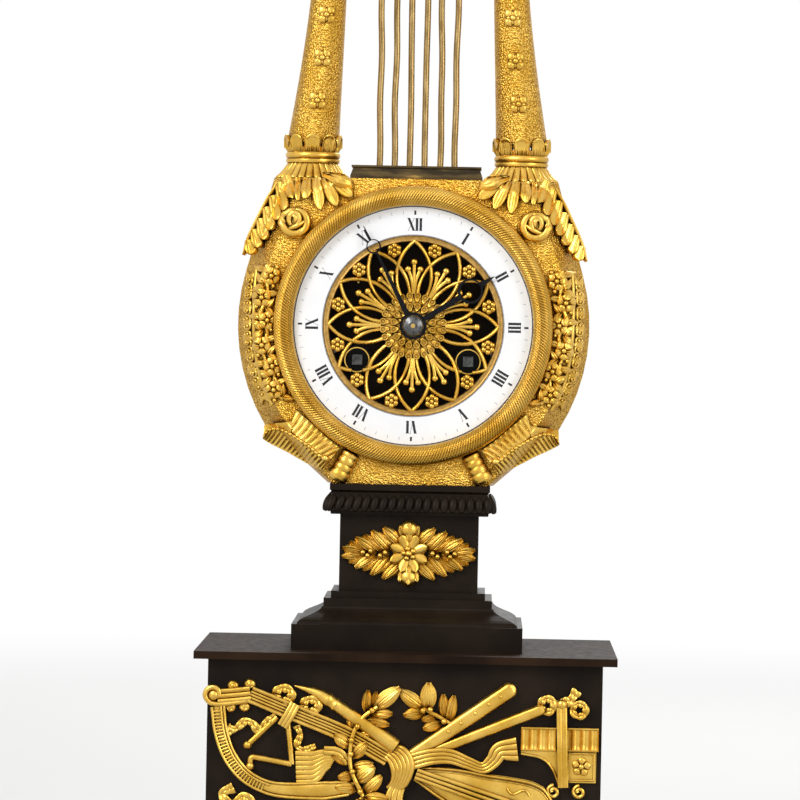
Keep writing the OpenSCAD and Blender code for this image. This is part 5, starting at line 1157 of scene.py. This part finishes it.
def make_trophy_left():
    """Ribbons, sticks, pleated cloth and a pipe round the neck of the cittern."""
    shape = Shape(PANEL)
    for p in ([(-49.6, -22.4), (-61.0, -33.4)], [(-45.4, -24), (-43.4, -40.6)],
              [(-43.6, -40.6), (-58.0, -38.2), (-59.6, -38.8), (-59.8, -41.6)]):
        band(shape, p, round_section(1.2, 10), 20, lift=1.2)
    for x, z in ((-61, -33.4), (-59.8, -41.6)):
        ball(shape, (x, z, 1.4), 1.7, steps=14)
    pleats = 7
    for k in range(pleats):
        fold = [(-42.2 + 0.1 * k, -36.2 - 1.9 * k), (-36.0 + 0.3 * k, -36.3 - 1.75 * k),
                (-30.6, -35.4 - 1.2 * k), (-25.6 - 0.5 * k, -36.2 - 0.8 * k)]
        band(shape, fold, strip_section(2.6, 1.7), 30, lift=0.9,
             scale=np.interp(np.linspace(0, 1, 30), [0, 0.3, 1], [0.9, 1.05, 0.75]))
    tie = [(-31, -34.8, 1.6), (-25.4, -35.4, 1.8), (-21.4, -39.4, 1.4)]
    band(shape, tie, strip_section(3.4, 1.4, 2), 20)
    waved = [(-68.9, -28.6), (-65.2, -26.8), (-61.9, -24.2), (-58.9, -25.2), (-57.0, -27.6), (-54.4, -25.2),
             (-50.2, -21.8)]
    ribbon(shape, waved, 2.9)
    ribbon(shape, [(-68.9, -26.0), (-66.6, -27.4)], 2.2)
    ribbon(shape, [(-42.0, -25.4), (-40.5, -29.0), (-41.6, -33.0), (-39.1, -35.0), (-34.5, -33.3)], 2.5)
    ribbon(shape, [(-66, -50.2), (-70.4, -52.6), (-67, -57.2), (-62, -53.8), (-57, -58)], 3.6)
    loop(shape, (-47.2, -13.6), 3.1, 3.2, 0.5, squeeze=0.85)
    loop(shape, (-36.6, -17.6), 3.0, 3.0, 0.2, squeeze=0.8)
    cuff = [(-42.6, -17.0, 2.8), (-44.8, -21.2, 3.4), (-47.4, -25.6, 2.6)]
    band(shape, cuff, strip_section(4.2, 1.1, 3), 14)
    pipe = [(-43.1, -10.0, 1.1), (-35.1, -12.3, 1.3), (-30.4, -14.8, 1.4), (-21.5, -20.6, 1.5),
            (-9.8, -28.3, 1.6), (-3.2, -33.0, 1.8)]
    band(shape, pipe, round_section(1, 16), 80,
         scale=np.interp(np.linspace(0, 1, 80), [0, 0.2, 0.29, 0.31, 0.33, 0.36, 0.38, 0.4, 1],
                         [0.35, 1.9, 2.6, 2.9, 2.5, 2.5, 2.9, 2.4, 3.2]))
    shape.make("trophy_ribbons")


def make_violin():
    """Violin with strings, sound holes and a raised rim."""
    shape = Shape(PANEL)
    a, b = np.array([5.0, -43.2]), np.array([58.5, -60.8])
    along = unit(b - a)
    side = np.array([-along[1], along[0]])
    reach = np.hypot(*(b - a))
    t = np.linspace(0, 1, 60)
    half = np.interp(t, [0, 0.12, 0.3, 0.46, 0.6, 0.8, 0.92, 1.0],
                     [2.6, 5.2, 7.8, 8.8, 10.6, 12.4, 10.6, 4.0])
    half = np.convolve(np.pad(half, 4, mode="edge"), np.ones(9) / 9, mode="valid")
    v = np.linspace(-1, 1, 15)
    flat = a + reach * t[:, None, None] * along + half[:, None, None] * v[None, :, None] * side
    crown = 1.0 + 1.3 * np.sqrt(np.maximum(1 - np.abs(v) ** 3, 0))[None, :] * np.ones((60, 1))
    relief(shape, np.concatenate([flat, crown[..., None]], -1), 1.6)
    for s in (-1, 1):
        for inset, wire in ((0.7, 0.6), (2.0, 0.3)):
            rim = a + reach * t[:, None] * along + s * (half[:, None] - inset) * side
            band(shape, rim[::3], round_section(wire, 8), 60, lift=2.0)
        eye = a + 40 * along + s * 6.4 * side
        curve = np.linspace(-1, 1, 9)
        hook = eye + 4.6 * curve[:, None] * along + s * 1.5 * np.sin(math.pi * curve)[:, None] * side
        band(shape, hook, round_section(0.45, 8), 30, lift=2.5)
    for k in (-1, 0, 1):
        string = [(*(a + 1.5 * k * side), 3.0), (*(a + 42 * along + 2.1 * k * side), 3.2)]
        band(shape, string, round_section(0.85, 8), 20)
    shape.make("trophy_violin")


def make_panpipes():
    """Panpipes with a curved web and a flower block, hung on a strap from a bow."""
    shape = Shape(PANEL)
    left, right, top, foot = 45.6, 75.8, -24.6, -33.0
    pipes = sheet([(left, top), (right, top)], [(left, foot), (right, foot)], 200, 8,
                  lambda u, v: 1.5 + 1.1 * (1 - ridge(9 * u)) + 0.4 * (v > 0.93))
    relief(shape, pipes, 1.8)
    for z in (top, foot):
        band(shape, [(left, z), (right, z)], round_section(0.45, 8), 30, lift=1.8)
    curve = [(45.7, -34.6), (53.6, -36.2), (58.0, -40.2), (60.8, -46.6)]
    web_top = [(45.7, -33.0), (51, -33.0), (56, -33.0), (61.4, -33.0)]
    web = sheet(web_top, curve, 30, 8, lambda u, v: 1.5 + 0 * u)
    relief(shape, web, 1.6)
    band(shape, curve, round_section(0.5, 8), 40, lift=1.6)
    block = sheet([(63.4, -33), (69, -33), (75, -33)], [(63.4, -45.6), (69, -45.6), (75, -45.6)], 8, 8,
                  lambda u, v: 1.4 + 0 * u)
    relief(shape, block, 1.5)
    for p in ([(64.3, -34.2), (74.2, -34.2)], [(64.3, -44.6), (74.2, -44.6)], [(64.3, -34.2), (64.3, -44.6)],
              [(74.2, -34.2), (74.2, -44.6)]):
        band(shape, p, round_section(0.45, 8), 8, lift=1.6)
    blossom(shape, (69.2, -39.3), 3.9, 5, 1.0, start=1.3, turn_by=12)
    for x in (58.6, 68.6):
        s = np.linspace(0, 1, 24)
        spin = math.radians(90) + 1.3 * TAU * s
        r = 2.6 - 1.9 * s
        curl = np.stack([x + r * np.cos(spin), -49.2 + r * np.sin(spin), 1.1 + 0.5 * s], 1)
        trail(shape, curl, round_section(0.8, 8))
    shape.make("trophy_panpipes")


def make_trophy_right():
    """Recorders, drapery, a knot of cloth, and the strap and bow of the panpipes."""
    shape = Shape(PANEL)
    for p, w, last in (([(3, -36.6, 1.2), (42.8, -8.6, 1.4)], 6.4, [1.0, 0.95, 0.82, 0.5]),
                       ([(12, -34.4, 0.9), (54.2, -17.0, 1.0)], 4.7, [1.0, 0.98, 0.9, 0.8])):
        taper = np.concatenate([np.linspace(0.86, 1.0, 56), last])
        band(shape, p, strip_section(w, 2.0), 60, lift=0.5, scale=taper)
    for share in (0.36, 0.48, 0.62, 0.75, 0.86):
        hole = np.array([3, -36.6]) * (1 - share) + np.array([42.8, -8.6]) * share
        ball(shape, (*hole, 3.4), 0.75, flat=0.5, steps=10)
    cloth = [(2.4, -38.8, 1.8), (11, -36.4, 2.4), (18, -36.2, 2.0), (25, -38.6, 1.6), (31, -40.4, 1.6),
             (34.8, -37.6, 1.7), (37.6, -33.8, 1.8), (44.0, -32.8, 1.4)]
    band(shape, cloth, strip_section(6.8, 1.7, 4), 80,
         scale=np.interp(np.linspace(0, 1, 80), [0, 0.3, 0.62, 0.8, 1], [0.95, 0.9, 0.62, 0.95, 1.4]))
    outer = np.array([(-6.4, -31.8, 1.2), (0.6, -34.0, 3.0), (3.4, -40.4, 3.2), (1.0, -47.6, 2.4),
                      (-3.6, -50.2, 1.0)])
    inner = np.array([(-8.6, -36.0, 1.2), (-5.6, -38.2, 2.4), (-3.8, -42.6, 2.6), (-4.2, -46.6, 2.0),
                      (-6.0, -49.0, 1.0)])
    folds = 6
    for k in range(folds):
        f = k / (folds - 1)
        band(shape, f * outer + (1 - f) * inner, round_section(1.02, 10), 34,
             scale=np.interp(np.linspace(0, 1, 34), [0, 0.5, 1], [0.7, 1.15, 0.75]))
    for k in range(3):
        tail = [(-4 + 2.0 * k, -48, 1.2), (-6 + 2.4 * k, -54, 1.5), (-4.4 + 3.0 * k, -60, 0.9)]
        band(shape, tail, strip_section(3.0, 1.2), 24, scale=np.linspace(0.8, 1.2, 24))
    band(shape, [(61.2, -16.4, 2.2), (61.6, -30, 3.0), (62.3, -47.4, 2.4)], strip_section(4.0, 1.2, 2), 24)
    loop(shape, (55.6, -15.6), 2.6, 2.8, 0.2, 1.0)
    loop(shape, (68.0, -17.2), 2.6, 2.5, 0.4, 0.95)
    ribbon(shape, [(56.6, -15.6), (61.0, -14.8), (64.4, -13.4), (66.9, -10.0)], 3.6)
    ball(shape, (61.2, -15.2, 2.2), 2.2, flat=0.8, steps=16)
    shape.make("trophy_drapery")


def make_trophy_laurel():
    """Laurel round the crossing of the trophy and along its lower edge."""
    shape = Shape(PANEL)
    stem = [(-15.6, -52.4), (-20.2, -42.4), (-20.8, -34.4), (-19.6, -27.6), (-16.2, -21.8), (-10.6, -17.4)]
    band(shape, stem, round_section(0.9, 8), 50, lift=3.0)
    sprays = [((-20.2, -27.6), (-20.4, -18.9), 4.6), ((-15.0, -19.6), (-14.4, -10.9), 3.9),
              ((-13.3, -18.4), (-11.0, -11.5), 3.3), ((-11.6, -17.8), (-1.9, -9.8), 6.2),
              ((-13.6, -20.8), (-4.6, -20.0), 4.6), ((-15.0, -23.0), (-5.8, -24.4), 4.0),
              ((-18.8, -28.4), (-9.4, -26.6), 5.4), ((-20.6, -33.6), (-27.2, -28.6), 5.0),
              ((-20.8, -39.6), (-28.0, -36.6), 4.2), ((-20.0, -37.4), (-14.6, -31.6), 5.2),
              ((-20.0, -41.8), (-11.6, -39.8), 4.8), ((-18.4, -46.6), (-11.4, -40.6), 6.4),
              ((-18.0, -49.6), (-26.4, -49.2), 5.4), ((-19.4, -44.6), (-25.4, -45.2), 4.0),
              ((-15.4, -51.4), (-8.4, -44.4), 5.4), ((-14.6, -53.0), (-5.4, -53.4), 4.8)]
    for k, (base, tip, w) in enumerate(sprays):
        spear(shape, base, tip, w, start=1.6 + 0.7 * (k % 2))
    berries = [(-12.6, -18.8), (-18.2, -25.2), (-20.4, -30.6), (-20.6, -36.0), (-19.8, -42.8),
               (-16.6, -50.6)]
    for x, z in berries:
        ball(shape, (x, z, 3.8), 1.2, steps=10)
    band(shape, [(20.4, -25.0), (14.4, -21.4), (7.2, -17.8)], round_section(0.8, 8), 24, lift=1.6)
    small = [((7.6, -18.0), (-2.4, -10.8), 5.6), ((9.2, -18.2), (9.2, -7.6), 6.4),
             ((15.6, -22.6), (15.0, -12.0), 4.4), ((17.2, -23.2), (19.2, -12.4), 4.4),
             ((7.8, -19.4), (-0.4, -20.6), 4.8), ((14.4, -23.4), (7.4, -25.8), 4.4),
             ((12.6, -20.6), (6.8, -22.4), 4.0)]
    for k, (base, tip, w) in enumerate(small):
        spear(shape, base, tip, w, start=0.7 + 0.5 * (k % 2))
    for x, z in ((7.2, -18.6), (10.0, -18.2), (15.4, -22.6)):
        ball(shape, (x, z, 2.6), 1.2, steps=10)
    laurel_twig(shape, [(-18, -54), (-12, -60), (-4, -64)], 3, 9.4)
    laurel_twig(shape, [(-28, -62), (-44, -65), (-60, -70)], 5, 9.6)
    laurel_twig(shape, [(8, -66), (-8, -70), (-22, -72)], 4, 9.4)
    laurel_twig(shape, [(62, -66), (48, -72), (30, -74)], 4, 9.4)
    shape.make("trophy_laurel")


# Solids that keep their shape get a finish and, where they show an edge, a small bevel

FINISHES = {"gilt_bronze": GILT, "patinated_bronze": BRONZE, "brass": BRASS, "dark_brass": WORN,
            "steel": STEEL, "black_steel": BLACK_STEEL, "enamel": ENAMEL}
BEVELS = {"plinth_top_plate": 0.5, "plinth_front_panel": 0.3, "plinth_back_panel": 0.3,
          "plinth_side_panels": 0.3, "plinth_base": 0.4, "pedestal_foot": 0.35, "pedestal_dado": 0.3,
          "crest_block": 0.5, "lyre_body": 0.7, "hour_hand": 0.12, "minute_hand": 0.12, "back_plate": 0.25,
          "front_plate": 0.2}
# The front plate, dial plate and minute wheel take painted shadow in near-black brass, and the clicks
# near-black steel, for the shade behind the pierced centre
OWN_FINISH = {"lyre_body": GILT_MATT, "plinth_top_plate": BRONZE_BROWN, "bell": BRASS,
              "front_plate": SHADOW_BRASS, "hand_nut": DARK_STEEL, "going_arbor": ARBOR_STEEL,
              "strike_arbor": ARBOR_STEEL, "going_click": BLACK_STEEL, "strike_click": BLACK_STEEL,
              "minute_wheel": SHADOW_BRASS, "dial_plate": SHADOW_BRASS}


def dress_solids():
    for part in frame["record"]["subparts"]:
        solid = frame["nodes"][part["node"]]
        finish = OWN_FINISH.get(part["node"], FINISHES[part["material_slot"]])
        solid.data.materials.clear()
        solid.data.materials.append(finish)
        if part["node"] in BEVELS:
            edge = solid.modifiers.new("edge", "BEVEL")
            edge.width = BEVELS[part["node"]] * MM
            edge.segments = 2
            edge.limit_method = "ANGLE"
            edge.angle_limit = math.radians(35)


# Camera, floor and light

CAMERA = {"yaw": -0.9, "pitch": 0.9, "roll": 1.12, "target": (-5.0, 0.0, 205.3), "distance": 2000.0,
          "lens": 224.8}


def make_camera():
    yaw, pitch, roll = (math.radians(CAMERA[k]) for k in ("yaw", "pitch", "roll"))
    ahead = Vector((math.sin(yaw) * math.cos(pitch), math.cos(yaw) * math.cos(pitch), -math.sin(pitch)))
    right = ahead.cross(Vector((0, 0, 1))).normalized()
    up = right.cross(ahead)
    tilted = right * math.cos(roll) + up * math.sin(roll)
    turned_up = up * math.cos(roll) - right * math.sin(roll)
    place = (Vector(CAMERA["target"]) - ahead * CAMERA["distance"]) * MM
    data = bpy.data.cameras.new("camera")
    data.lens = CAMERA["lens"]
    data.sensor_width = 36
    data.clip_start, data.clip_end = 0.05, 60
    made = bpy.data.objects.new("camera", data)
    bpy.context.scene.collection.objects.link(made)
    axes = Matrix((tilted, turned_up, -ahead)).transposed().to_4x4()
    made.matrix_world = Matrix.Translation(place) @ axes
    bpy.context.scene.camera = made


def seen_ray(tree):
    """1 for rays that the camera, a mirror or a glass sends, 0 for the rest."""
    path = node(tree, "ShaderNodeLightPath")
    total = node(tree, "ShaderNodeMath", {"operation": "MAXIMUM"}, i0=path.outputs["Is Camera Ray"],
                 i1=path.outputs["Is Glossy Ray"])
    both = node(tree, "ShaderNodeMath", {"operation": "MAXIMUM"}, i0=total.outputs[0],
                i1=path.outputs["Is Transmission Ray"])
    return both.outputs[0]


def make_floor():
    """Pale floor that keeps the shadow near the clock and runs out to white far away."""
    mesh = bpy.data.meshes.new("floor")
    half = 20
    mesh.from_pydata([(-half, -half, 0), (half, -half, 0), (half, half, 0), (-half, half, 0)], [],
                     [[0, 1, 2, 3]])
    made = bpy.data.objects.new("floor", mesh)
    bpy.context.scene.collection.objects.link(made)
    finish, tree, shader = new_material("floor")
    shader.inputs["Base Color"].default_value = (0.8, 0.8, 0.79, 1)
    shader.inputs["Roughness"].default_value = 0.7
    where = node(tree, "ShaderNodeTexCoord").outputs["Object"]
    reach = node(tree, "ShaderNodeVectorMath", {"operation": "LENGTH"}, i0=where).outputs["Value"]
    far = node(tree, "ShaderNodeMapRange", {"interpolation_type": "SMOOTHSTEP"}, Value=reach, From_Min=0.5,
               From_Max=1.8)
    share = node(tree, "ShaderNodeMath", {"operation": "MULTIPLY"}, i0=far.outputs["Result"],
                 i1=seen_ray(tree))
    glow = node(tree, "ShaderNodeEmission", Strength=1.0)
    blend = node(tree, "ShaderNodeMixShader", i0=share.outputs[0], i1=shader.outputs[0], i2=glow.outputs[0])
    tree.links.new(blend.outputs[0], tree.nodes["Material Output"].inputs["Surface"])
    mesh.materials.append(finish)


def make_world():
    world = bpy.data.worlds.new("studio")
    bpy.context.scene.world = world
    world.use_nodes = True
    tree = world.node_tree
    level = node(tree, "ShaderNodeMapRange", Value=seen_ray(tree), To_Min=0.42, To_Max=1.0)
    tree.links.new(level.outputs["Result"], tree.nodes["Background"].inputs["Strength"])
    tree.nodes["Background"].inputs["Color"].default_value = (1, 1, 1, 1)


def softbox(name, place, aim, size, power):
    data = bpy.data.lights.new(name, "AREA")
    data.shape = "RECTANGLE"
    data.size, data.size_y = size
    data.energy = power
    made = bpy.data.objects.new(name, data)
    made.location = place
    made.rotation_mode = "QUATERNION"
    made.rotation_quaternion = (Vector(aim) - Vector(place)).to_track_quat("-Z", "Y")
    bpy.context.scene.collection.objects.link(made)


def make_light():
    softbox("key", (-0.9, -1.2, 1.15), (0, 0, 0.22), (0.5, 0.8), 19)
    softbox("fill", (1.1, -1.0, 0.6), (0, 0, 0.2), (0.4, 0.9), 7)
    softbox("back", (0.3, 1.2, 1.0), (0, 0, 0.25), (0.8, 0.5), 9)


make_camera()
dress_solids()
make_bezel()
make_numerals()
make_pierced_centre()
make_arms()
make_collars()
make_arm_flowers()
make_strings()
make_acanthus()
make_flank_leaves()
make_roses()
make_vines()
make_edge_scrolls()
make_lower_leaves()
make_cornice()
make_pedestal_mount()
make_cittern()
make_trophy_left()
make_violin()
make_panpipes()
make_trophy_right()
make_trophy_laurel()
make_floor()
make_world()
make_light()
bpy.context.scene.view_settings.view_transform = "Standard"
